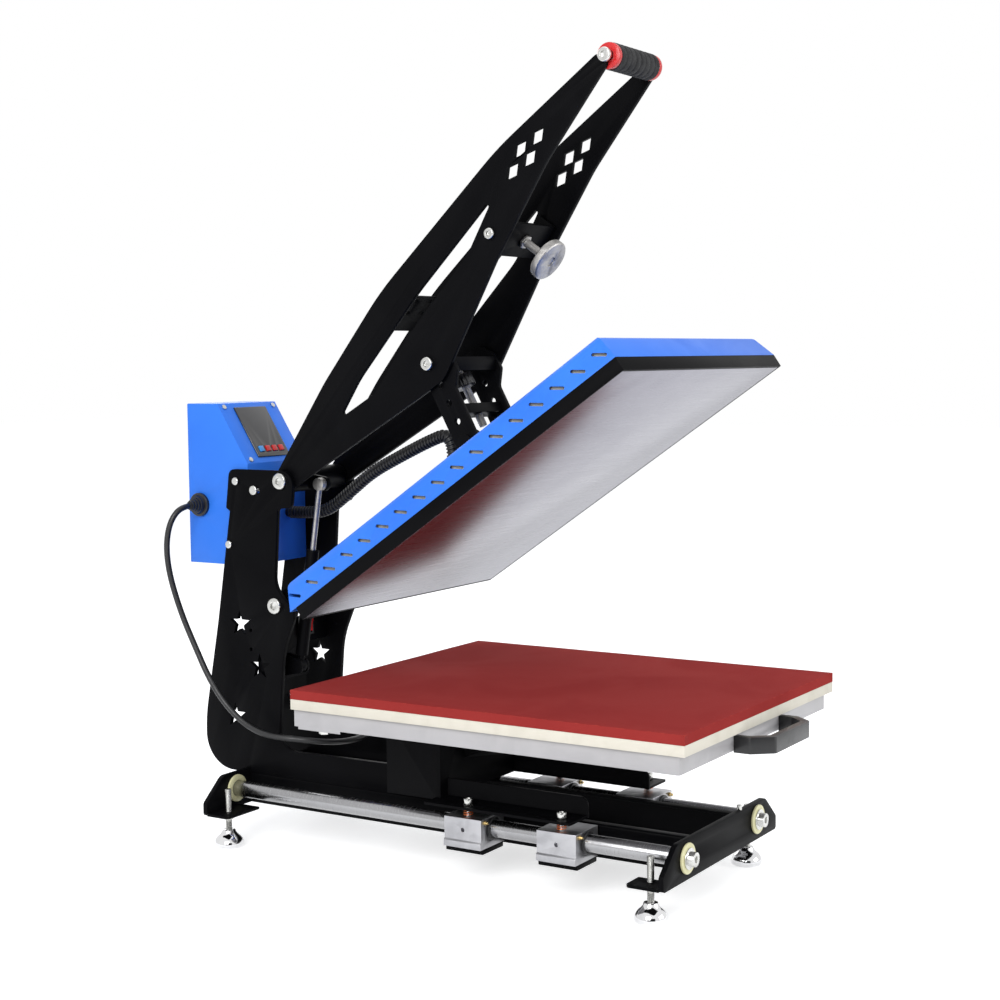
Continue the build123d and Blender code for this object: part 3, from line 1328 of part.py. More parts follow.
def drawer_handle():
    """Moulded bow handle on the tray's front, open for the fingers."""
    half = PULL_W / 2
    front = TRAY_FRONT - PULL_REACH
    turn_y = front + PULL_TAPER
    shoulder = half - PULL_CORNER
    r = PULL_OUTER_R
    outer = outline((-half, TRAY_FRONT), (-half, turn_y, r), (-shoulder, front, r), (shoulder, front, r),
                    (half, turn_y, r), (half, TRAY_FRONT))
    inside = half - PULL_BAR
    r = PULL_INNER_R
    inner = outline((-inside, TRAY_FRONT), (-inside, turn_y + 3, r), (5 - shoulder, front + PULL_BAR, r),
                    (shoulder - 5, front + PULL_BAR, r), (inside, turn_y + 3, r), (inside, TRAY_FRONT))
    bow = slab_z(outer - inner, PULL_Z - PULL_H / 2, PULL_Z + PULL_H / 2)
    for side in (-1, 1):
        bow -= rod((side * PULL_SCREW_X, TRAY_FRONT - PULL_SCREW_L, PULL_Z), ALONG_Y, FIXING_R, PULL_SCREW_L)
    return bow


def main():
    save("base_side_rails", both_sides(side_rail()))
    save("end_cross_plates",
         cross_plate(BASE_FRONT - END_T, BASE_FRONT, BASE_FRONT + TAB_FRONT_L, FEET[0][1]),
         cross_plate(BASE_REAR, BASE_REAR - TAB_REAR_L, BASE_REAR, FEET[1][1]))
    save("guide_rods", both_sides(guide_rod()))
    save("rod_end_washers", end_washers())
    save("rod_end_bolts", end_bolts(), stop_stud())
    save("foot_studs", at_feet(foot_stud()), at_feet(foot_nut()))
    save("foot_cups", at_feet(foot_cup()))

    save("column_plate_left", mirrored(column_plate()))
    save("column_plate_right", column_plate())
    save("lever_pivot_shaft", pivot_shaft(LEVER_Y, LEVER_Z, SHAFT_R))
    save("platen_hinge_shaft", pivot_shaft(HINGE_Y, HINGE_Z, HINGE_R))
    save("column_bolts", column_bolts())
    save("column_tie", column_tie())
    save("power_switch_housing", switch_housing())
    save("power_rocker", power_rocker())

    save("control_box", control_box_shell())
    save("display_panel", display_panel())
    for index, name in enumerate(("key_start", "key_up", "key_down", "key_set")):
        save(name, key(index))
    save("box_screws", box_screws())
    save("cable_gland", cable_gland())

    cable, cable_path, radii = mains_cable()
    coil, coil_path = cable_coil()
    save("mains_cable", cable)
    save("cable_coil", coil)
    save("mains_plug", mains_plug())
    print("cable radii", [round(radius) for radius in radii])
    print("cable length", round(cable_path.length), "coil length", round(coil_path.length))
    print("cable volume ratio", round(cable.volume / (math.pi * CORD_R ** 2 * cable_path.length), 4))
    print("coil least gap", round(least_gap(coil_place, COIL_ALL, CORD_R), 2))

    save("lever_plate_left", mirrored(lever_plate()))
    save("lever_plate_right", lever_plate())
    save("lever_bolts", lever_bolts())
    save("lever_cross_members", lever_pivot_tube(), armature_bracket(), vent_plate())
    save("armature_disc", armature_disc())
    save("grip", grip())
    save("grip_collars", both_sides(grip_collar()))

    save("link_plates", both_sides(link_plate()))
    save("link_block", link_block())
    save("pressure_screw", pressure_screw())
    save("pressure_knob", pressure_knob())

    save("heater_plate", opened(heater_plate()))
    save("insulation_board", opened(insulation_board()))
    save("platen_band", opened(platen_band()))
    save("platen_cover", opened(platen_cover()))
    save("platen_bridge", platen_bridge())
    save("electromagnet", electromagnet())
    save("hose_fitting", hose_fitting())
    hose, hose_path = heater_hose()
    save("heater_hose", hose)
    print("hose length", round(hose_path.length))
    save("gas_spring_cylinder", gas_cylinder())
    save("gas_spring_rod", gas_rod())

    save("linear_blocks", at_blocks(linear_block()))
    save("linear_bushes", at_blocks(linear_bush()))
    save("block_seals", [at_blocks(seal) for seal in block_seals()])
    save("block_strips", at_blocks(block_strip()))
    save("grease_nipples", at_blocks(grease_nipple()))
    save("carriage_bolts", at_blocks(carriage_bolt()))
    spring, spring_gap = press_spring()
    save("press_springs", at_blocks(spring))
    print("spring least gap", round(spring_gap, 2))
    save("carriage_frame", carriage_frame())
    save("tray", tray())
    save("tray_screws", tray_screws())
    save("heat_board", heat_board())
    save("silicone_mat", silicone_mat())
    save("drawer_handle", drawer_handle())


main()
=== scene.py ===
import json
import math

import bmesh
import bpy
from mathutils import Matrix, Vector, noise


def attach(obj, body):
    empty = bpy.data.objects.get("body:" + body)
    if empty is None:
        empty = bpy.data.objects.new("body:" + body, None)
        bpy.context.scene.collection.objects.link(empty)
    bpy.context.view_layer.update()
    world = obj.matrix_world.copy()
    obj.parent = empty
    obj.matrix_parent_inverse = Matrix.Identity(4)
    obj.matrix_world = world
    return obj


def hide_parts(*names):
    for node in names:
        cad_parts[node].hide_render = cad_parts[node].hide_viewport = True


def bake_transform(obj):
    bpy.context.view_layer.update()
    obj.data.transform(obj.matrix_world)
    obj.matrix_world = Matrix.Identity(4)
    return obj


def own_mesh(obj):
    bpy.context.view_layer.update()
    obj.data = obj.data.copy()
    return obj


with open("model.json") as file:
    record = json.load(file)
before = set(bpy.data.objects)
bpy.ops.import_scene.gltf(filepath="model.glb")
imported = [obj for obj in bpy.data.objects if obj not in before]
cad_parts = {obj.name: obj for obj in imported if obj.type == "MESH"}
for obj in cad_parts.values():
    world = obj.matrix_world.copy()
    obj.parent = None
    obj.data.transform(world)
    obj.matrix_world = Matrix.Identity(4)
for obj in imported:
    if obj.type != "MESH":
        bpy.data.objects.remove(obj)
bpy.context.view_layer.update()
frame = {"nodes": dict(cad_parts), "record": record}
nodes = frame["nodes"]

# Sizes in millimetres, in the press's working frame. SHIFT_Y moves a working point into the row frame.
MM = 0.001
SHIFT_Y = -7.5
PLATEN_W = 400
PLATEN_D = 500
PLATEN_REAR = 137
BED_FRONT = PLATEN_REAR - PLATEN_D
BED_TOP = 224
MAT_T = 11
PLATEN_HINGE = (267, 295)
OPEN_ANGLE = 34.25
LEVER_OUT = 57.4
PLATE_T = 6
LEVER_IN = LEVER_OUT - PLATE_T
GRIP = (-200, 926)
GRIP_R = 15
COLLAR_L = 7
TOGGLE = (37, 594.3)
LINK_LEAN = 28
FEET = [(x, y) for x in (-124.2, 124.2) for y in (-286, 299)]
BLOCKS = [(side, y) for side in (-1, 1) for y in (-166, -43)]
SPRING_X = 105
BLOCK_TOP = 79
SPRING_GAP = 9
CORD_R = 3.75
HOSE_X = 22
HOSE_R = 8
UPWARD = (0, 0, 1)


def spot(x, y, z):
    """A point of the working frame, in metres in the row frame."""
    return Vector((x, y + SHIFT_Y, z)) * MM


def turn_about(y, z, degrees):
    """Rotation about an axis along X through a working point."""
    centre = Matrix.Translation(spot(0, y, z))
    return centre @ Matrix.Rotation(math.radians(degrees), 4, "X") @ centre.inverted()


PLATEN_OPEN = turn_about(*PLATEN_HINGE, -OPEN_ANGLE)
HOME = Matrix.Translation(spot(0, 0, 0)) @ Matrix.Scale(MM, 4)


def aimed(origin, direction):
    """Places a shape drawn in millimetres along +Z at a working point, along a direction."""
    way = Vector(direction).normalized()
    turn = Vector(UPWARD).rotation_difference(way).to_matrix().to_4x4()
    return Matrix.Translation(spot(*origin)) @ turn @ Matrix.Scale(MM, 4)


def shown(name, data):
    """A new object in the scene."""
    obj = bpy.data.objects.new(name, data)
    bpy.context.scene.collection.objects.link(obj)
    return obj


def mesh_of(bm, name):
    """Turns a bmesh into a mesh and frees it."""
    mesh = bpy.data.meshes.new(name)
    bm.to_mesh(mesh)
    bm.free()
    return mesh


# Camera, placed in millimetres with its angles in degrees, as it was fitted to the photograph

CAMERA_AT = (-1761.6, -1124.0, 601.6)
CAMERA_YAW = 58.026
CAMERA_PITCH = -4.65
CAMERA_ROLL = -0.575
CAMERA_LENS = 63.37
CAMERA_SENSOR = 36
CAMERA_REACH = 50


def make_camera():
    yaw, pitch, roll = (math.radians(a) for a in (CAMERA_YAW, CAMERA_PITCH, CAMERA_ROLL))
    ahead = Vector((math.sin(yaw) * math.cos(pitch), math.cos(yaw) * math.cos(pitch), math.sin(pitch)))
    level = Vector((math.cos(yaw), -math.sin(yaw), 0))
    upright = level.cross(ahead)
    right = level * math.cos(roll) + upright * math.sin(roll)
    up = upright * math.cos(roll) - level * math.sin(roll)
    data = bpy.data.cameras.new("camera")
    data.lens = CAMERA_LENS
    data.sensor_width = CAMERA_SENSOR
    data.clip_end = CAMERA_REACH
    camera = shown("camera", data)
    axes = Matrix((right, up, -ahead)).transposed().to_4x4()
    camera.matrix_world = Matrix.Translation(spot(*CAMERA_AT)) @ axes
    bpy.context.scene.camera = camera


make_camera()


# Making and finishing pieces

RECORD = frame["record"]
BODY_OF = {node: body for body, members in RECORD["behaviour"]["bodies"].items() for node in members}
SLOT_OF = {part["node"]: part["material_slot"] for part in RECORD["subparts"]}

# Below these angles a break between faces is drawn smooth
SMOOTH_BELOW = math.radians(35)
SMOOTH_CUP = math.radians(40)
SMOOTH_RIBS = math.radians(50)
SMOOTH_SOFT = math.radians(60)

# Tolerances, in the units of the shape that is being made
MERGE_GAP = 1e-4
WELD_GAP = 2e-6
SLIVER = 1e-7
FLAT_BELOW = math.radians(0.6)
SHARP_ABOVE = math.radians(28)


def sharpen(bm, limit=SMOOTH_BELOW):
    """Smooth faces that break only along edges sharper than the limit."""
    for face in bm.faces:
        face.smooth = True
    for edge in bm.edges:
        edge.smooth = edge.is_manifold and edge.calc_face_angle(0) < limit


def piece_of(bm, name, body, replaced=(), limit=SMOOTH_BELOW):
    """Turns a finished bmesh into a piece, which rides on a body if one is named."""
    sharpen(bm, limit)
    piece = shown(name, mesh_of(bm, name))
    if body:
        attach(piece, body)
    if replaced:
        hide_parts(*replaced)
    return piece


def turned(bm, profile, place, steps=48):
    """Spins (radius, height) points in millimetres round +Z and puts the closed shape in place."""
    made = [bm.verts.new((radius, 0, height)) for radius, height in profile]
    edges = [bm.edges.new(pair) for pair in zip(made, made[1:])]
    if profile[0][0] > 0 and profile[-1][0] > 0:
        edges.append(bm.edges.new((made[-1], made[0])))
    before = set(bm.verts) - set(made)
    bmesh.ops.spin(bm, geom=made + edges, cent=(0, 0, 0), axis=(0, 0, 1), dvec=(0, 0, 0),
                   angle=2 * math.pi, steps=steps, use_merge=True)
    shape = [v for v in bm.verts if v not in before]
    bmesh.ops.remove_doubles(bm, verts=shape, dist=MERGE_GAP)
    shape = [v for v in bm.verts if v not in before]
    faces = list({f for v in shape for f in v.link_faces})
    bmesh.ops.recalc_face_normals(bm, faces=faces)
    bmesh.ops.transform(bm, matrix=place, verts=shape)
    return shape


THREAD_STEPS = 32
THREAD_RISES, THREAD_CREST, THREAD_FALLS = 0.1, 0.5, 0.6


def threaded_bar(bm, radius, length, place, pitch=1.25, depth=0.45):
    """Bar with the rings of a fine thread, whose crests take up a share of the pitch."""
    root = radius - depth
    profile = [(0, 0), (root, 0)]
    for i in range(int(length / pitch)):
        profile += [(root, (i + THREAD_RISES) * pitch), (radius, (i + THREAD_CREST) * pitch),
                    (radius, (i + THREAD_FALLS) * pitch)]
    profile += [(root, length), (0, length)]
    return turned(bm, profile, place, THREAD_STEPS)


def rounded(bm, edges, width, segments=2):
    """Rounds edges and gives back what was made."""
    return bmesh.ops.bevel(bm, geom=edges, offset=width, offset_type="OFFSET", segments=segments,
                           profile=0.5, affect="EDGES", clamp_overlap=True, material=-1)


NUT_EASE = 0.4
NUT_SHARP_ABOVE = math.radians(30)


def hexagon(bm, corner_radius, height, place):
    """Hexagon nut with eased edges, standing on its seat."""
    made = bmesh.ops.create_cone(bm, cap_ends=True, segments=6, radius1=corner_radius,
                                 radius2=corner_radius, depth=height,
                                 matrix=Matrix.Translation((0, 0, height / 2)))
    chosen = set(made["verts"])
    before = set(bm.verts) - chosen
    sharp = [e for e in bm.edges if e.verts[0] in chosen and e.verts[1] in chosen
             and e.is_manifold and e.calc_face_angle(0) > NUT_SHARP_ABOVE]
    rounded(bm, sharp, NUT_EASE)
    shape = [v for v in bm.verts if v not in before]
    bmesh.ops.transform(bm, matrix=place, verts=shape)
    return shape


def mark_wear_and_sheen(bm, faces):
    """Marks the corners of the rounded edges' faces, and no others, for the edge tint. The tint is rubbed
    wear on most pieces and a painted highlight on the sponge's rim.
    """
    wear_and_sheen_layer = bm.loops.layers.float.new("edge_wear")
    for face in faces:
        for loop in face.loops:
            loop[wear_and_sheen_layer] = 1.0


def cut_away(bm, low, high):
    """Takes out of a closed bmesh what lies between two working points."""
    box = bmesh.new()
    bmesh.ops.create_cube(box, size=1)
    size = [b - a for a, b in zip(low, high)]
    middle = [(a + b) / 2 for a, b in zip(low, high)]
    place = HOME @ Matrix.Translation(middle) @ Matrix.Diagonal((*size, 1))
    bmesh.ops.transform(box, matrix=place, verts=box.verts)
    cutter = shown("cut_box", mesh_of(box, "cut_box"))
    whole = shown("cut_whole", mesh_of(bm.copy(), "cut_whole"))
    cut = whole.modifiers.new("opening", "BOOLEAN")
    cut.operation = "DIFFERENCE"
    cut.solver = "EXACT"
    cut.object = cutter
    left = bpy.data.meshes.new_from_object(whole.evaluated_get(bpy.context.evaluated_depsgraph_get()))
    bm.clear()
    bm.from_mesh(left)
    for obj in (cutter, whole):
        mesh = obj.data
        bpy.data.objects.remove(obj)
        bpy.data.meshes.remove(mesh)
    bpy.data.meshes.remove(left)


def dressed(node, ease, taken=None):
    """The node's own shape with its sharp edges rounded by an ease in millimetres."""
    bm = bmesh.new()
    bm.from_mesh(nodes[node].data)
    bmesh.ops.remove_doubles(bm, verts=bm.verts, dist=WELD_GAP)
    if taken:
        cut_away(bm, *taken)
        bmesh.ops.remove_doubles(bm, verts=bm.verts, dist=WELD_GAP)
    bmesh.ops.dissolve_degenerate(bm, dist=SLIVER, edges=bm.edges)
    bmesh.ops.dissolve_limit(bm, angle_limit=FLAT_BELOW, verts=bm.verts, edges=bm.edges,
                             use_dissolve_boundaries=False)
    sharp = [e for e in bm.edges if e.is_manifold and e.calc_face_angle(0) > SHARP_ABOVE]
    mark_wear_and_sheen(bm, rounded(bm, sharp, ease * MM)["faces"])
    return piece_of(bm, node + "_piece", BODY_OF[node], [node])


# Mains lead: one curve from the box to the plug, with the length that isn't seen coiled behind the column

GLAND_END = (-76.4, 392, 417)
LEAD_ROUTE = [
    GLAND_END, (-93, 393, 416), (-104, 398, 404), (-108, 403, 386), (-108, 406, 362), (-106, 404, 334),
    (-102, 398, 304), (-98, 388, 272), (-95, 374, 241), (-93, 355, 203), (-92, 331, 172), (-90, 302, 148),
    (-88, 270, 136), (-83, 240, 134), (-71, 215, 132), (-49, 198, 127), (-20, 190, 124), (12, 189, 124),
    (39, 195, 127), (61, 206, 128), (74, 219, 120), (75, 231, 99), (74, 242, 73), (73.5, 252, 46),
    (73.5, 264, 22), (74, 283, 6.5), (75, 308, 4.25)]
COIL_AT = (124, 400)
COIL_R = 49
COIL_PITCH = 9.4
COIL_TURNS = 2
COIL_CLIMB = 0.5
COIL_LEAD = 40
COIL_POINTS = 16
LEAD_FLOOR = CORD_R + 0.4


def coil_place(t):
    """Point of the coil after t turns: in on the floor, a climb, out on top."""
    inner = COIL_R - COIL_PITCH * COIL_TURNS
    climbed = min(max((t - COIL_TURNS) / COIL_CLIMB, 0), 1)
    radius = inner + COIL_PITCH * max(COIL_TURNS - t, t - COIL_TURNS - COIL_CLIMB, 0)
    rise = (1 - math.cos(math.pi * climbed)) / 2
    angle = math.pi * (1 - 2 * t)
    return Vector((COIL_AT[0] + radius * math.cos(angle), COIL_AT[1] + radius * math.sin(angle),
                   LEAD_FLOOR + COIL_PITCH * rise))


TUBE_ROUNDNESS = 6
SPLINE_ORDER = 3
SPLINE_STEPS = 8
GUIDE_STEPS = 24


def spline_through(name, points, radius=0):
    """Tube on one smooth open spline. Its control points carry its real radius, so that its box is true."""
    curve = bpy.data.curves.new(name, "CURVE")
    curve.dimensions = "3D"
    curve.bevel_depth = 1 if radius else 0
    curve.bevel_resolution = TUBE_ROUNDNESS
    curve.use_fill_caps = True
    curve.resolution_u = SPLINE_STEPS
    line = curve.splines.new("NURBS")
    line.points.add(len(points) - 1)
    for target, point in zip(line.points, points):
        target.co = (*point, 1)
        target.radius = radius
    line.order_u = SPLINE_ORDER
    line.use_endpoint_u = True
    return shown(name, curve)


COIL_ALL = 2 * COIL_TURNS + COIL_CLIMB
SHORT_TURN = 0.001
start_way = (coil_place(SHORT_TURN) - coil_place(0)).normalized()
end_way = (coil_place(COIL_ALL) - coil_place(COIL_ALL - SHORT_TURN)).normalized()
coil_start = coil_place(0) - start_way * 2 * CORD_R
coil_end = coil_place(COIL_ALL) + end_way * 2 * CORD_R
lead_points = [Vector(point) for point in LEAD_ROUTE] + [coil_start - start_way * COIL_LEAD, coil_start]
coil_steps = round(COIL_ALL * COIL_POINTS)
lead_points += [coil_place(COIL_ALL * i / coil_steps) for i in range(coil_steps + 1)] + [coil_end]
mains_lead = spline_through("mains_lead", [spot(*point) for point in lead_points], CORD_R * MM)
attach(mains_lead, "frame")
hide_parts("mains_cable", "cable_coil")


# Plug on the end of the lead

PLUG_NECK_R = 6.2
PLUG_R = 12
PLUG_L = 34
PLUG_BORE_R = CORD_R - 0.5
PLUG_BORE = (-2, 5)
PLUG_RIBS = 4
PLUG_RIB_START = 1.5
PLUG_RIB_PITCH = 3
PLUG_RIB_WIDENS = 0.35
PLUG_GROOVE = 0.9
PLUG_SHOULDER = [(CORD_R + 4, 14), (10.4, 16.5), (11.6, 18.6), (PLUG_R, 21)]
PLUG_END = [(0, 1.5), (0.5, 0.5), (1.5, 0)]
PIN_SPREAD = 6
PIN_SUNK = 1
PIN_PROFILE = [(0, 0), (2.3, 0), (2.4, 12), (2.4, 18.6), (1.7, 19.8), (0, 20)]
PIN_STEPS = 24


def make_plug():
    bm = bmesh.new()
    low, high = PLUG_BORE
    profile = [(PLUG_BORE_R, low), (PLUG_NECK_R - 0.8, low), (PLUG_NECK_R, 0)]
    for i in range(PLUG_RIBS):
        at = PLUG_RIB_START + PLUG_RIB_PITCH * i
        crest = PLUG_NECK_R + PLUG_RIB_WIDENS * i
        groove = PLUG_NECK_R - PLUG_GROOVE + PLUG_RIB_WIDENS * i
        profile += [(crest, at), (groove, at + 0.5), (groove, at + 1.5), (crest, at + 2)]
    profile += PLUG_SHOULDER + [(PLUG_R - inward, PLUG_L - back) for inward, back in PLUG_END]
    profile += [(0, PLUG_L), (0, high), (PLUG_BORE_R, high)]
    turned(bm, profile, aimed(coil_end, end_way))
    body = piece_of(bm, "plug_body", "frame", ["mains_plug"])
    pins = bmesh.new()
    turn = Vector(UPWARD).rotation_difference(end_way).to_matrix()
    for side in (-1, 1):
        foot = coil_end + turn @ Vector((side * PIN_SPREAD, 0, PLUG_L - PIN_SUNK))
        turned(pins, PIN_PROFILE, aimed(foot, end_way), PIN_STEPS)
    return body, piece_of(pins, "plug_pins", "frame")


plug_body, plug_pins = make_plug()


# Ribbed hose of the heater lead, which bends between the box and the platen

HOSE_BORE_R = 5.5
HOSE_SIDES = 28
HOSE_ENDS = 6
HOSE_FOOT = (-2, 279.8)
HOSE_LEAD = 32
RIB_PITCH = 4.6
RIB_DEPTH = 1.5
RIB_EASE = 0.2
RIB_FORM = [(RIB_DEPTH, 0.2), (RIB_EASE, 0.9), (0, 1.3), (0, 2.4), (RIB_EASE, 2.8), (RIB_DEPTH, 3.5)]


def open_point(y, z):
    """Where a working point of the closed platen lies with the platen open."""
    moved = PLATEN_OPEN @ spot(0, y, z)
    return moved.y / MM - SHIFT_Y, moved.z / MM


HOSE_ROUTE = [(313, 404), (280, 404), (248, 408), (214, 432), (178, 459), (134, 480), (92, 499), (58, 511),
              open_point(HOSE_FOOT[0], HOSE_FOOT[1] + HOSE_LEAD), open_point(*HOSE_FOOT)]


def centre_line(points):
    """Points along the smooth spline that has these control points."""
    guide = spline_through("hose_guide", points)
    guide.data.resolution_u = GUIDE_STEPS
    mesh = bpy.data.meshes.new_from_object(guide)
    line = [v.co.copy() for v in mesh.vertices]
    bpy.data.objects.remove(guide)
    bpy.data.meshes.remove(mesh)
    return line


def lay_along(bm, line, along):
    """Bends a shape drawn in millimetres along +Z onto a line, given the length up to each of its points."""
    side = Vector((1, 0, 0))
    last = len(line) - 1
    step = 0
    for vert in sorted(bm.verts, key=lambda v: v.co.z):
        reached = min(max(vert.co.z * MM, 0), along[-1])
        while step < last - 1 and along[step + 1] < reached:
            step += 1
        share = (reached - along[step]) / (along[step + 1] - along[step])
        centre = line[step].lerp(line[step + 1], share)
        ways = [(line[min(i + 1, last)] - line[max(i - 1, 0)]).normalized() for i in (step, step + 1)]
        way = ways[0].lerp(ways[1], share).normalized()
        vert.co = centre + side * vert.co.x * MM + way.cross(side) * vert.co.y * MM
    bmesh.ops.recalc_face_normals(bm, faces=bm.faces)


def make_hose():
    line = centre_line([spot(HOSE_X, y, z) for y, z in HOSE_ROUTE])
    along = [0.0]
    for a, b in zip(line, line[1:]):
        along.append(along[-1] + (b - a).length)
    total = along[-1] / MM
    count = int((total - HOSE_ENDS) / RIB_PITCH)
    low = (total - count * RIB_PITCH) / 2
    profile = [(HOSE_R - RIB_DEPTH, 0)]
    for i in range(count):
        at = low + i * RIB_PITCH
        profile += [(HOSE_R - depth, at + further) for depth, further in RIB_FORM]
    profile.append((HOSE_R - RIB_DEPTH, total))
    profile += [(HOSE_BORE_R, total * (1 - i / (2 * count))) for i in range(2 * count + 1)]
    bm = bmesh.new()
    turned(bm, profile, Matrix.Identity(4), HOSE_SIDES)
    lay_along(bm, line, along)
    hose = piece_of(bm, "ribbed_hose", None, ["heater_hose"], SMOOTH_RIBS)
    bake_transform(hose)
    return hose


ribbed_hose = make_hose()


# Effects that several finishes use


def effect(name, inputs, outputs):
    """An empty node group with named sockets."""
    group = bpy.data.node_groups.new(name, "ShaderNodeTree")
    for label, kind, value in inputs:
        group.interface.new_socket(name=label, in_out="INPUT", socket_type=kind).default_value = value
    for label, kind in outputs:
        group.interface.new_socket(name=label, in_out="OUTPUT", socket_type=kind)
    return group, group.nodes.new("NodeGroupInput"), group.nodes.new("NodeGroupOutput")


def node_in(tree, kind, links=(), **values):
    """A node with its properties, its sockets' values and what feeds them."""
    node = tree.nodes.new(kind)
    for key, value in values.items():
        if hasattr(node, key):
            setattr(node, key, value)
        else:
            node.inputs[key.replace("_", " ")].default_value = value
    for label, source in dict(links).items():
        tree.links.new(source, node.inputs[label])
    return node


def noise_in(group, given, **values):
    """Noise over the object, at the scale that the group is given."""
    place = group.nodes.new("ShaderNodeTexCoord")
    return node_in(group, "ShaderNodeTexNoise",
                   {"Vector": place.outputs["Object"], "Scale": given.outputs["Scale"]}, **values)


def step_in(group, source, low, high):
    """Smooth step from 0 to 1 between two levels of a value."""
    step = node_in(group, "ShaderNodeMapRange", {"Value": source}, interpolation_type="SMOOTHSTEP")
    step.inputs["From Min"].default_value = low
    step.inputs["From Max"].default_value = high
    return step


def grain_effect():
    """Fine unevenness of a coat or a moulded skin, as a normal and a value."""
    group, given, out = effect("surface_grain",
                               [("Scale", "NodeSocketFloat", 900), ("Strength", "NodeSocketFloat", 0.2),
                                ("Relief", "NodeSocketFloat", 0.0002)],
                               [("Normal", "NodeSocketVector"), ("Value", "NodeSocketFloat")])
    spots = noise_in(group, given, Detail=4.0, Roughness=0.6)
    bump = node_in(group, "ShaderNodeBump",
                   {"Height": spots.outputs["Fac"], "Strength": given.outputs["Strength"],
                    "Distance": given.outputs["Relief"]})
    group.links.new(bump.outputs["Normal"], out.inputs["Normal"])
    group.links.new(spots.outputs["Fac"], out.inputs["Value"])
    return group


def patch_effect():
    """Broad uneven patches, as of handling and dust, from 0 to 1."""
    group, given, out = effect("broad_patches",
                               [("Scale", "NodeSocketFloat", 12), ("Low", "NodeSocketFloat", 0.4),
                                ("High", "NodeSocketFloat", 0.65)], [("Value", "NodeSocketFloat")])
    broad = noise_in(group, given, Detail=5.0, Roughness=0.55, Distortion=0.6)
    ramp = node_in(group, "ShaderNodeMapRange",
                   {"Value": broad.outputs["Fac"], "From Min": given.outputs["Low"],
                    "From Max": given.outputs["High"]}, interpolation_type="SMOOTHSTEP")
    group.links.new(ramp.outputs["Result"], out.inputs["Value"])
    return group


WEAR_AND_SHEEN_EDGE = (0.55, 1)
WEAR_AND_SHEEN_SPOTS = (0.45, 0.7)


def wear_and_sheen_effect():
    """Edge tint, standing for rubbed wear and, on the sponge, for painted highlight, where the rounded
    edges' attribute meets a fine noise.
    """
    group, given, out = effect("rubbed_edges",
                               [("Scale", "NodeSocketFloat", 160), ("Amount", "NodeSocketFloat", 0.5)],
                               [("Mask", "NodeSocketFloat")])
    edge = group.nodes.new("ShaderNodeAttribute")
    edge.attribute_name = "edge_wear"
    spots = noise_in(group, given, Detail=3.0)
    near = step_in(group, edge.outputs["Fac"], *WEAR_AND_SHEEN_EDGE)
    broken = step_in(group, spots.outputs["Fac"], *WEAR_AND_SHEEN_SPOTS)
    both = node_in(group, "ShaderNodeMath", operation="MULTIPLY")
    group.links.new(near.outputs["Result"], both.inputs[0])
    group.links.new(broken.outputs["Result"], both.inputs[1])
    share = node_in(group, "ShaderNodeMath", operation="MULTIPLY")
    group.links.new(both.outputs["Value"], share.inputs[0])
    group.links.new(given.outputs["Amount"], share.inputs[1])
    group.links.new(share.outputs["Value"], out.inputs["Mask"])
    return group


STROKE_RELIEF = 0.0001


def stroke_effect():
    """Fine parallel strokes of grinding, brushing or turning, stretched by a vector."""
    group, given, out = effect("tool_strokes",
                               [("Stretch", "NodeSocketVector", (1, 1, 1)), ("Lean", "NodeSocketFloat", 0),
                                ("Strength", "NodeSocketFloat", 0.1)],
                               [("Value", "NodeSocketFloat"), ("Normal", "NodeSocketVector")])
    place = group.nodes.new("ShaderNodeTexCoord")
    lean = node_in(group, "ShaderNodeCombineXYZ", {"X": given.outputs["Lean"]})
    turn = node_in(group, "ShaderNodeMapping",
                   {"Vector": place.outputs["Object"], "Rotation": lean.outputs["Vector"]})
    reach = node_in(group, "ShaderNodeVectorMath", {0: turn.outputs["Vector"], 1: given.outputs["Stretch"]},
                    operation="MULTIPLY")
    lines = node_in(group, "ShaderNodeTexNoise", {"Vector": reach.outputs["Vector"]}, Scale=1.0, Detail=4.0,
                    Roughness=0.7)
    bump = node_in(group, "ShaderNodeBump",
                   {"Height": lines.outputs["Fac"], "Strength": given.outputs["Strength"]},
                   Distance=STROKE_RELIEF)
    group.links.new(lines.outputs["Fac"], out.inputs["Value"])
    group.links.new(bump.outputs["Normal"], out.inputs["Normal"])
    return group


GRAIN = grain_effect()
PATCHES = patch_effect()
WEAR_AND_SHEEN = wear_and_sheen_effect()
STROKES = stroke_effect()


def placed(tree, group, **values):
    """One use of an effect with its own values."""
    node = tree.nodes.new("ShaderNodeGroup")
    node.node_tree = group
    for key, value in values.items():
        node.inputs[key].default_value = value
    return node


# Sockets of a Mix node that mixes colours
MIX_A, MIX_B, MIX_OUT = 6, 7, 2

# Levels of the strokes' noise that are spread over the range of roughness
STROKE_LEVELS = (0.25, 0.75)
CLEAR_ROUGHNESS = 0.15


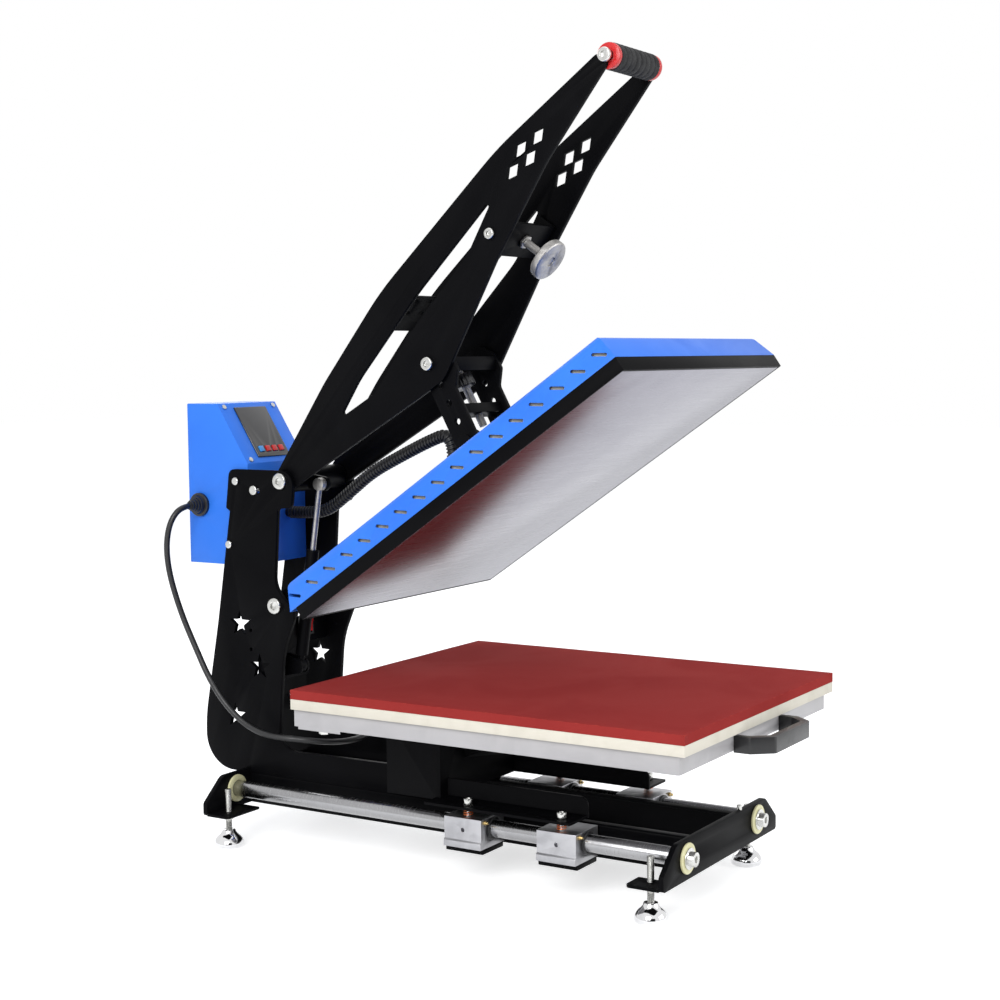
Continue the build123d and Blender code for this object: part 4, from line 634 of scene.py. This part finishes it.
def coat(name, colour, second, rough=(0.4, 0.5), grain=(900, 0.15, 0.0002), patches=(10, 0.4, 0.65),
         wear_and_sheen=None, metallic=0.0, level=0.5, clear=0.0, strokes=None):
    """A finish of two near colours in broad patches, with grain, optional strokes and an optional tint of
    the rounded edges, which stands for rubbed wear and, on the sponge, for painted highlight.

    rough is the least and most roughness, grain a scale, a strength and a relief in metres, patches a
    scale and the noise levels where they start and end, wear_and_sheen the edge tint's colour, a scale and
    an amount, and strokes a stretch, a lean in degrees and a strength.
    """
    material = bpy.data.materials.new(name)
    material.use_nodes = True
    tree = material.node_tree
    skin = tree.nodes["Principled BSDF"]
    skin.inputs["Metallic"].default_value = metallic
    skin.inputs["Specular IOR Level"].default_value = level
    skin.inputs["Coat Weight"].default_value = clear
    skin.inputs["Coat Roughness"].default_value = CLEAR_ROUGHNESS
    broad = placed(tree, PATCHES, Scale=patches[0], Low=patches[1], High=patches[2])
    fine = placed(tree, GRAIN, Scale=grain[0], Strength=grain[1], Relief=grain[2])
    tone = node_in(tree, "ShaderNodeMix", data_type="RGBA")
    tone.inputs[MIX_A].default_value = (*colour, 1)
    tone.inputs[MIX_B].default_value = (*second, 1)
    tree.links.new(broad.outputs["Value"], tone.inputs["Factor"])
    last = tone.outputs[MIX_OUT]
    shine = broad.outputs["Value"]
    normal = fine.outputs["Normal"]
    if strokes:
        stretch, lean, strength = strokes
        lines = placed(tree, STROKES, Stretch=stretch, Lean=math.radians(lean), Strength=strength)
        shine = lines.outputs["Value"]
        normal = lines.outputs["Normal"]
    # The edge tint mixes a colour into the marked rounded edges. It is rubbed wear on the other finishes
    # that have one, and a painted highlight on the sponge's rim.
    if wear_and_sheen:
        worn_and_lit_colour, scale, amount = wear_and_sheen
        wear_and_sheen_mask = placed(tree, WEAR_AND_SHEEN, Scale=scale, Amount=amount)
        worn_and_lit_mix = node_in(tree, "ShaderNodeMix", data_type="RGBA")
        tree.links.new(wear_and_sheen_mask.outputs["Mask"], worn_and_lit_mix.inputs["Factor"])
        tree.links.new(last, worn_and_lit_mix.inputs[MIX_A])
        worn_and_lit_mix.inputs[MIX_B].default_value = (*worn_and_lit_colour, 1)
        last = worn_and_lit_mix.outputs[MIX_OUT]
    spread = node_in(tree, "ShaderNodeMapRange", {"Value": shine})
    spread_from = STROKE_LEVELS if strokes else (0, 1)
    for label, value in zip(("From Min", "From Max", "To Min", "To Max"), (*spread_from, *rough)):
        spread.inputs[label].default_value = value
    tree.links.new(last, skin.inputs["Base Color"])
    tree.links.new(spread.outputs["Result"], skin.inputs["Roughness"])
    tree.links.new(normal, skin.inputs["Normal"])
    return material


FINISH = {
    "black_powder": coat("black_powder_coat", (0.0024, 0.0024, 0.003), (0.0036, 0.0036, 0.0043),
                         (0.4, 0.48), (1100, 0.12, 0.00015), (9, 0.35, 0.7),
                         ((0.02, 0.02, 0.022), 220, 0.5), level=0.04),
    "blue_paint": coat("blue_coat", (0.034, 0.2, 0.83), (0.027, 0.17, 0.76), (0.36, 0.45),
                       (1300, 0.2, 0.0002), (7, 0.35, 0.7), ((0.1, 0.31, 0.86), 240, 0.5), level=0.3),
    "ground_steel": coat("ground_steel", (0.38, 0.38, 0.39), (0.33, 0.33, 0.34), (0.16, 0.32), metallic=1.0,
                         strokes=((60, 1500, 60), 0, 0.25), wear_and_sheen=((0.7, 0.7, 0.7), 90, 0.6)),
    "zinc_bolt": coat("zinc_plate", (0.62, 0.62, 0.6), (0.5, 0.5, 0.48), (0.2, 0.34), (700, 0.15, 0.0001),
                      (90, 0.4, 0.7), metallic=1.0),
    "turned_steel": coat("turned_steel", (0.42, 0.41, 0.4), (0.27, 0.26, 0.25), (0.42, 0.6),
                         (420, 0.6, 0.0004), (60, 0.4, 0.7), metallic=1.0),
    "chrome_foot": coat("chrome", (0.78, 0.78, 0.79), (0.7, 0.7, 0.71), (0.05, 0.1), (300, 0.03, 0.0001),
                        (60, 0.4, 0.7), metallic=1.0),
    "block_aluminium": coat("satin_aluminium", (0.46, 0.46, 0.48), (0.39, 0.39, 0.41), (0.32, 0.44),
                            (1200, 0.2, 0.0001), (40, 0.4, 0.7), metallic=1.0),
    "heater_aluminium": coat("heater_face", (0.29, 0.285, 0.325), (0.26, 0.255, 0.295), (0.24, 0.34),
                             metallic=1.0, strokes=((10, 900, 900), -OPEN_ANGLE, 0.08)),
    "brass_nipple": coat("brass", (0.6, 0.45, 0.2), (0.5, 0.36, 0.15), (0.2, 0.35), (600, 0.1, 0.0001),
                         (90, 0.4, 0.7), metallic=1.0),
    "copper_spring": coat("copper_lacquer", (0.75, 0.2, 0.06), (0.6, 0.13, 0.04), (0.25, 0.4),
                          (600, 0.1, 0.0001), (120, 0.4, 0.7), metallic=0.6),
    "tray_grey": coat("tray_paint", (0.46, 0.45, 0.46), (0.4, 0.39, 0.4), (0.4, 0.5), (900, 0.2, 0.0002),
                      (14, 0.35, 0.7), ((0.62, 0.62, 0.62), 200, 0.5)),
    "white_board": coat("white_board", (0.72, 0.68, 0.59), (0.67, 0.63, 0.54), (0.75, 0.9),
                        (500, 0.5, 0.0004), (30, 0.4, 0.7), level=0.2),
    # The lighter red of the sponge's edge tint is a painted highlight, not wear. Its rounded rim is painted
    # lighter than its top, as where the front light falls on the sides.
    "red_silicone": coat("red_sponge", (0.32, 0.034, 0.031), (0.29, 0.03, 0.028), (0.8, 0.92),
                         (800, 0.5, 0.0004), (8, 0.35, 0.7), ((0.62, 0.09, 0.06), 120, 0.6), level=0.05),
    "foam_grip": coat("foam_rubber", (0.018, 0.018, 0.019), (0.011, 0.011, 0.012), (0.75, 0.9),
                      (1500, 0.9, 0.0005), (80, 0.4, 0.7), level=0.4),
    "black_plastic": coat("black_moulding", (0.009, 0.009, 0.01), (0.006, 0.006, 0.007), (0.3, 0.42),
                          (1600, 0.25, 0.0002), (30, 0.4, 0.7), ((0.03, 0.03, 0.03), 300, 0.4)),
    "cable_rubber": coat("lead_sheath", (0.011, 0.011, 0.012), (0.007, 0.007, 0.008), (0.35, 0.5),
                         (900, 0.2, 0.0002), (60, 0.4, 0.7)),
    "cream_nylon": coat("cream_nylon", (0.78, 0.75, 0.45), (0.7, 0.66, 0.38), (0.35, 0.5),
                        (700, 0.2, 0.0002), (90, 0.4, 0.7)),
    "red_plastic": coat("red_moulding", (0.62, 0.02, 0.022), (0.5, 0.014, 0.016), (0.2, 0.3),
                        (900, 0.1, 0.0001), (120, 0.4, 0.7)),
    "blue_key": coat("blue_key_cap", (0.05, 0.3, 0.75), (0.04, 0.24, 0.65), (0.25, 0.35),
                     (900, 0.1, 0.0001), (120, 0.4, 0.7)),
    "display_plastic": coat("display_film", (0.008, 0.008, 0.011), (0.012, 0.012, 0.016), (0.08, 0.14),
                            (600, 0.04, 0.0001), (60, 0.4, 0.7), clear=0.6),
    "insulation_wool": coat("pressed_wool", (0.75, 0.72, 0.62), (0.64, 0.6, 0.5), (0.85, 0.95),
                            (260, 0.9, 0.001), (30, 0.4, 0.7), level=0.2),
}

for node, obj in nodes.items():
    obj.data.materials.clear()
    obj.data.materials.append(FINISH[SLOT_OF[node]])


# Floor, backdrop and light

WHITE = (1, 1, 1, 1)


def rays(tree, wanted):
    """1 for rays that should meet a plain white background."""
    path = tree.nodes.new("ShaderNodeLightPath")
    total = path.outputs[wanted[0]]
    for label in wanted[1:]:
        more = node_in(tree, "ShaderNodeMath", operation="MAXIMUM")
        tree.links.new(total, more.inputs[0])
        tree.links.new(path.outputs[label], more.inputs[1])
        total = more.outputs["Value"]
    return total


SEEN_RAYS = ("Is Camera Ray", "Is Glossy Ray", "Is Transmission Ray")
SKY_COLOUR = (0.93, 0.96, 1, 1)
SKY_FILL = 0.5
FLOOR_HALF = 12
FLOOR_COLOUR = (0.86, 0.86, 0.86, 1)
FLOOR_GLOW = 0.6
PAPER_ROUGHNESS = 0.9
PAPER_LEVEL = 0.1


def make_world():
    world = bpy.data.worlds.new("studio")
    bpy.context.scene.world = world
    world.use_nodes = True
    tree = world.node_tree
    tree.nodes.clear()
    seen = node_in(tree, "ShaderNodeBackground", Color=WHITE, Strength=1.0)
    fill = node_in(tree, "ShaderNodeBackground", Color=SKY_COLOUR, Strength=SKY_FILL)
    mix = tree.nodes.new("ShaderNodeMixShader")
    out = tree.nodes.new("ShaderNodeOutputWorld")
    tree.links.new(rays(tree, SEEN_RAYS), mix.inputs[0])
    tree.links.new(fill.outputs[0], mix.inputs[1])
    tree.links.new(seen.outputs[0], mix.inputs[2])
    tree.links.new(mix.outputs[0], out.inputs["Surface"])


def make_floor():
    bm = bmesh.new()
    bmesh.ops.create_grid(bm, x_segments=1, y_segments=1, size=FLOOR_HALF)
    floor = shown("floor", mesh_of(bm, "floor"))
    material = bpy.data.materials.new("floor_paper")
    material.use_nodes = True
    tree = material.node_tree
    skin = tree.nodes["Principled BSDF"]
    skin.inputs["Base Color"].default_value = FLOOR_COLOUR
    skin.inputs["Roughness"].default_value = PAPER_ROUGHNESS
    skin.inputs["Specular IOR Level"].default_value = PAPER_LEVEL
    skin.inputs["Emission Color"].default_value = WHITE
    glow = node_in(tree, "ShaderNodeMath", operation="MULTIPLY")
    tree.links.new(rays(tree, SEEN_RAYS), glow.inputs[0])
    glow.inputs[1].default_value = FLOOR_GLOW
    tree.links.new(glow.outputs["Value"], skin.inputs["Emission Strength"])
    floor.data.materials.append(material)


def make_lamp(name, at, target, size, watts):
    data = bpy.data.lights.new(name, "AREA")
    data.shape = "RECTANGLE"
    data.size, data.size_y = size
    data.energy = watts
    lamp = shown(name, data)
    way = Vector(target) - Vector(at)
    lamp.matrix_world = Matrix.Translation(Vector(at)) @ way.to_track_quat("-Z", "Y").to_matrix().to_4x4()


AIM = (0, 0, 0.4)
AIM_FROM_BEHIND = (0, 0, 0.5)
CARD_AT = (-3.4, -2.2, 1.0)
CARD_HALF = (1.9, 1.1)
CARD_COLOUR = (0.02, 0.02, 0.022, 1)
HIDDEN_FROM = ("camera", "diffuse", "transmission", "volume_scatter", "shadow")


def make_card():
    """Dark card behind the camera that only polished faces reflect."""
    bm = bmesh.new()
    way = Vector(AIM) - Vector(CARD_AT)
    place = Matrix.Translation(CARD_AT) @ way.to_track_quat("Z", "Y").to_matrix().to_4x4()
    bmesh.ops.create_grid(bm, x_segments=1, y_segments=1, size=1)
    bmesh.ops.scale(bm, vec=(*CARD_HALF, 1), verts=bm.verts)
    bmesh.ops.transform(bm, matrix=place, verts=bm.verts)
    card = shown("dark_card", mesh_of(bm, "dark_card"))
    for ray in HIDDEN_FROM:
        setattr(card, "visible_" + ray, False)
    material = bpy.data.materials.new("card_black")
    material.use_nodes = True
    skin = material.node_tree.nodes["Principled BSDF"]
    skin.inputs["Base Color"].default_value = CARD_COLOUR
    skin.inputs["Roughness"].default_value = PAPER_ROUGHNESS
    card.data.materials.append(material)


# Name, place, aim and size in metres, and power in watts
LAMPS = (("key", (-2.6, -0.6, 1.6), AIM, (1.6, 1.6), 58),
         ("front", (0.8, -2.8, 1.2), AIM, (1.8, 1.2), 30),
         ("top", (0.2, 0.3, 3.0), AIM, (2.0, 2.0), 12),
         ("rear", (1.8, 2.4, 1.8), AIM_FROM_BEHIND, (1.6, 1.2), 14))

make_world()
make_floor()
make_card()
for settings in LAMPS:
    make_lamp(*settings)

bpy.context.scene.view_settings.view_transform = "Standard"


# Springs under the carriage

SPRING_R = 5.2
SPRING_WIRE = 1.2
SPRING_SIDES = 12
SPRING_TURNS = 3
SPRING_STEPS = 24
SPRING_CLEAR = 0.05


def make_springs():
    bm = bmesh.new()
    rise = SPRING_GAP - SPRING_WIRE - 2 * SPRING_CLEAR
    steps = SPRING_TURNS * SPRING_STEPS
    start = Matrix.Translation((SPRING_R, 0, SPRING_WIRE / 2 + SPRING_CLEAR))
    upright = start @ Matrix.Rotation(math.pi / 2, 4, "X")
    for side, y in BLOCKS:
        known = set(bm.verts)
        section = bmesh.ops.create_circle(bm, cap_ends=True, segments=SPRING_SIDES, radius=SPRING_WIRE / 2,
                                          matrix=upright)["verts"]
        edges = list({e for v in section for e in v.link_edges})
        faces = list({f for v in section for f in v.link_faces})
        bmesh.ops.spin(bm, geom=section + edges + faces, cent=(0, 0, 0), axis=UPWARD,
                       dvec=(0, 0, rise / steps), angle=2 * math.pi * SPRING_TURNS, steps=steps)
        shape = [v for v in bm.verts if v not in known]
        place = HOME @ Matrix.Translation((side * SPRING_X, y, BLOCK_TOP))
        bmesh.ops.transform(bm, matrix=place, verts=shape)
    bmesh.ops.recalc_face_normals(bm, faces=bm.faces)
    springs = piece_of(bm, "spring_wires", "drawer", ["press_springs"], SMOOTH_SOFT)
    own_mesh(springs)
    return springs


# Silicone sponge of the lower bed, never quite flat

MAT_CUTS = 30
MAT_SINK = 0.5
MAT_WAVES = 0.014
MAT_EASE = 1.6
MAT_EASE_STEPS = 3
MAT_RIM_ABOVE = 1
MAT_AT_SIDE = 0.01


def make_mat():
    bm = bmesh.new()
    bmesh.ops.create_cube(bm, size=1)
    bmesh.ops.scale(bm, vec=(PLATEN_W, PLATEN_D, MAT_T), verts=bm.verts)
    bmesh.ops.subdivide_edges(bm, edges=bm.edges, cuts=MAT_CUTS, use_grid_fill=True)
    rim = [e for e in bm.edges if e.calc_face_angle(0) > MAT_RIM_ABOVE]
    # Marks the sponge's rounded rim for the edge tint, which paints it a lighter red as a painted highlight
    # of its lit sides.
    mark_wear_and_sheen(bm, rounded(bm, rim, MAT_EASE, MAT_EASE_STEPS)["faces"])
    for vert in bm.verts:
        dip = MAT_SINK * (0.5 + 0.5 * noise.noise(vert.co * MAT_WAVES))
        if vert.co.z > 0:
            vert.co.z -= dip
        for axis, half in ((0, PLATEN_W / 2), (1, PLATEN_D / 2)):
            if abs(vert.co[axis]) > half - MAT_AT_SIDE:
                vert.co[axis] -= math.copysign(dip, vert.co[axis])
    middle = (0, BED_FRONT + PLATEN_D / 2, BED_TOP - MAT_T / 2)
    bmesh.ops.transform(bm, matrix=HOME @ Matrix.Translation(middle), verts=bm.verts)
    mat = piece_of(bm, "sponge_mat", "carriage", ["silicone_mat"], SMOOTH_SOFT)
    return mat


# Foam grip

GRIP_BORE_R = 6
GRIP_STEPS = 56
GRIP_END = [(1.2, 0), (0.3, 0.5), (0, 1.4)]
GRIP_RINGS = 7
GRIP_RING_EASE = 0.1
GRIP_RING_DEPTH = 0.9
GRIP_RING = [(GRIP_RING_EASE, -2), (GRIP_RING_DEPTH, -0.9), (GRIP_RING_DEPTH, 0.9), (GRIP_RING_EASE, 2)]


def make_grip():
    half = LEVER_IN - COLLAR_L
    pitch = 2 * half / (GRIP_RINGS + 1)
    profile = [(GRIP_BORE_R, 0)] + [(GRIP_R - depth, inward) for depth, inward in GRIP_END]
    for i in range(1, GRIP_RINGS + 1):
        at = i * pitch
        profile += [(GRIP_R, at - pitch / 2)] + [(GRIP_R - depth, at + aside) for depth, aside in GRIP_RING]
    profile += [(GRIP_R - depth, 2 * half - inward) for depth, inward in reversed(GRIP_END)]
    profile.append((GRIP_BORE_R, 2 * half))
    bm = bmesh.new()
    turned(bm, profile, aimed((-half, *GRIP), (1, 0, 0)), GRIP_STEPS)
    grip = piece_of(bm, "foam_sleeve", "lever", ["grip"], SMOOTH_RIBS)
    return grip


# Levelling feet

STUD_R = 4
STUD_TOP = 72
CUP_STEPS = 64
CUP_TOP = 22
CUP_BORE_R = 4.1
CUP_SOCKET = 12
CUP_PROFILE = [(0, 0), (16.6, 0), (17.6, 0.5), (18.1, 1.8), (18.4, 4.4), (18.1, 7.2), (16.9, 10),
               (14.8, 12.7), (12.2, 15), (10.3, 16.8), (9, 18.8), (8.2, 20.7), (7.8, 21.5), (7.2, CUP_TOP),
               (CUP_BORE_R, CUP_TOP), (CUP_BORE_R, CUP_SOCKET), (0, CUP_SOCKET)]
NUT_LOW = 35
NUT_H = 6
NUT_R = 7.4


def make_feet():
    cups = bmesh.new()
    studs = bmesh.new()
    for x, y in FEET:
        turned(cups, CUP_PROFILE, aimed((x, y, 0), UPWARD), CUP_STEPS)
        threaded_bar(studs, STUD_R, STUD_TOP - CUP_SOCKET, aimed((x, y, CUP_SOCKET), UPWARD))
        hexagon(studs, NUT_R, NUT_H, aimed((x, y, NUT_LOW), UPWARD))
    return [piece_of(cups, "bell_feet", "frame", ["foot_cups"], SMOOTH_CUP),
            piece_of(studs, "levelling_studs", "frame", ["foot_studs"])]


# Pressure screw in the toggle link

SCREW_R = 4.9
SCREW_PITCH = 1.5
SCREW_THREAD = 0.6
SCREW_START = 12
SCREW_END = 84


def make_screw():
    lean = math.radians(LINK_LEAN)
    way = (0, -math.sin(lean), -math.cos(lean))
    start = (0, TOGGLE[0] + SCREW_START * way[1], TOGGLE[1] + SCREW_START * way[2])
    bm = bmesh.new()
    threaded_bar(bm, SCREW_R, SCREW_END - SCREW_START, aimed(start, way), SCREW_PITCH, SCREW_THREAD)
    return piece_of(bm, "thrust_screw", "knob", ["pressure_screw"])


# Tapered strain relief of the mains lead

RELIEF_L = 23
RELIEF_BORE_R = CORD_R - 0.3
RELIEF_HEAD = [(13.6, 0), (14.9, 0.7), (14.9, 4.3), (14.2, 5), (12.3, 5.2), (11.9, 6.4)]
RELIEF_RIBS = 4
RELIEF_RIB_START = 8
RELIEF_RIB_PITCH = 3.4
RELIEF_RIB_R = 11
RELIEF_TAPER = 1.6
RELIEF_RIB = [(0, 0), (0.2, 1.8), (1.7, 2.1), (1.8, 3.1)]
RELIEF_STEPS = 56


def make_relief():
    profile = [(RELIEF_BORE_R, 0)] + RELIEF_HEAD
    for i in range(RELIEF_RIBS):
        low = RELIEF_RIB_START + RELIEF_RIB_PITCH * i
        wide = RELIEF_RIB_R - RELIEF_TAPER * i
        profile += [(wide - depth, low + further) for depth, further in RELIEF_RIB]
    profile += [(4.5, RELIEF_L - 0.4), (4.1, RELIEF_L), (RELIEF_BORE_R, RELIEF_L)]
    bm = bmesh.new()
    turned(bm, profile, aimed((-LEVER_OUT, *GLAND_END[1:]), (-1, 0, 0)), RELIEF_STEPS)
    return piece_of(bm, "strain_relief", "frame", ["cable_gland"])


made_pieces = [(make_springs(), "copper_spring"), (make_mat(), "red_silicone"), (make_grip(), "foam_grip"),
               (make_screw(), "turned_steel"), (make_relief(), "black_plastic")]
made_pieces += zip(make_feet(), ("chrome_foot", "zinc_bolt"))
made_pieces += [(mains_lead, "cable_rubber"), (plug_body, "cable_rubber"), (plug_pins, "zinc_bolt"),
                (ribbed_hose, "black_plastic")]
for piece, slot in made_pieces:
    piece.data.materials.append(FINISH[slot])


# Plates, bolts, sheet parts and mouldings keep the node's own shape, with their edges rounded

for node, ease in (("guide_rods", 0.6), ("rod_end_washers", 0.4), ("rod_end_bolts", 0.4),
                   ("lever_pivot_shaft", 0.3), ("platen_hinge_shaft", 0.3), ("column_bolts", 0.3),
                   ("box_screws", 0.3), ("lever_bolts", 0.3), ("grip_collars", 1.2), ("pressure_knob", 0.4),
                   ("hose_fitting", 0.5), ("gas_spring_cylinder", 0.4), ("gas_spring_rod", 0.4),
                   ("linear_bushes", 0.3), ("block_seals", 0.3), ("grease_nipples", 0.2),
                   ("carriage_bolts", 0.4), ("tray_screws", 0.4),
                   ("column_plate_left", 0.5), ("column_plate_right", 0.5), ("lever_plate_left", 0.5),
                   ("lever_plate_right", 0.5), ("lever_cross_members", 0.4), ("link_plates", 0.5),
                   ("link_block", 0.6), ("platen_bridge", 0.5), ("platen_band", 0.5), ("platen_cover", 0.3),
                   ("heater_plate", 0.8), ("insulation_board", 0.8), ("base_side_rails", 0.5),
                   ("end_cross_plates", 0.5), ("control_box", 0.3), ("display_panel", 0.3),
                   ("key_start", 0.6), ("key_up", 0.6), ("key_down", 0.6), ("key_set", 0.6),
                   ("power_switch_housing", 0.4), ("power_rocker", 0.5), ("linear_blocks", 0.4),
                   ("block_strips", 0.5), ("carriage_frame", 0.5), ("tray", 0.6), ("heat_board", 0.6),
                   ("drawer_handle", 2.2), ("armature_disc", 0.5), ("electromagnet", 0.4)):
    dressed(node, ease).data.materials.append(FINISH[SLOT_OF[node]])

# The cross sheet is open below the switch, so that the far column plate's front star shows light
TIE_OPENING = ((18, 200, 190), (70, 320, 238))
dressed("column_tie", 0.4, taken=TIE_OPENING).data.materials.append(FINISH[SLOT_OF["column_tie"]])
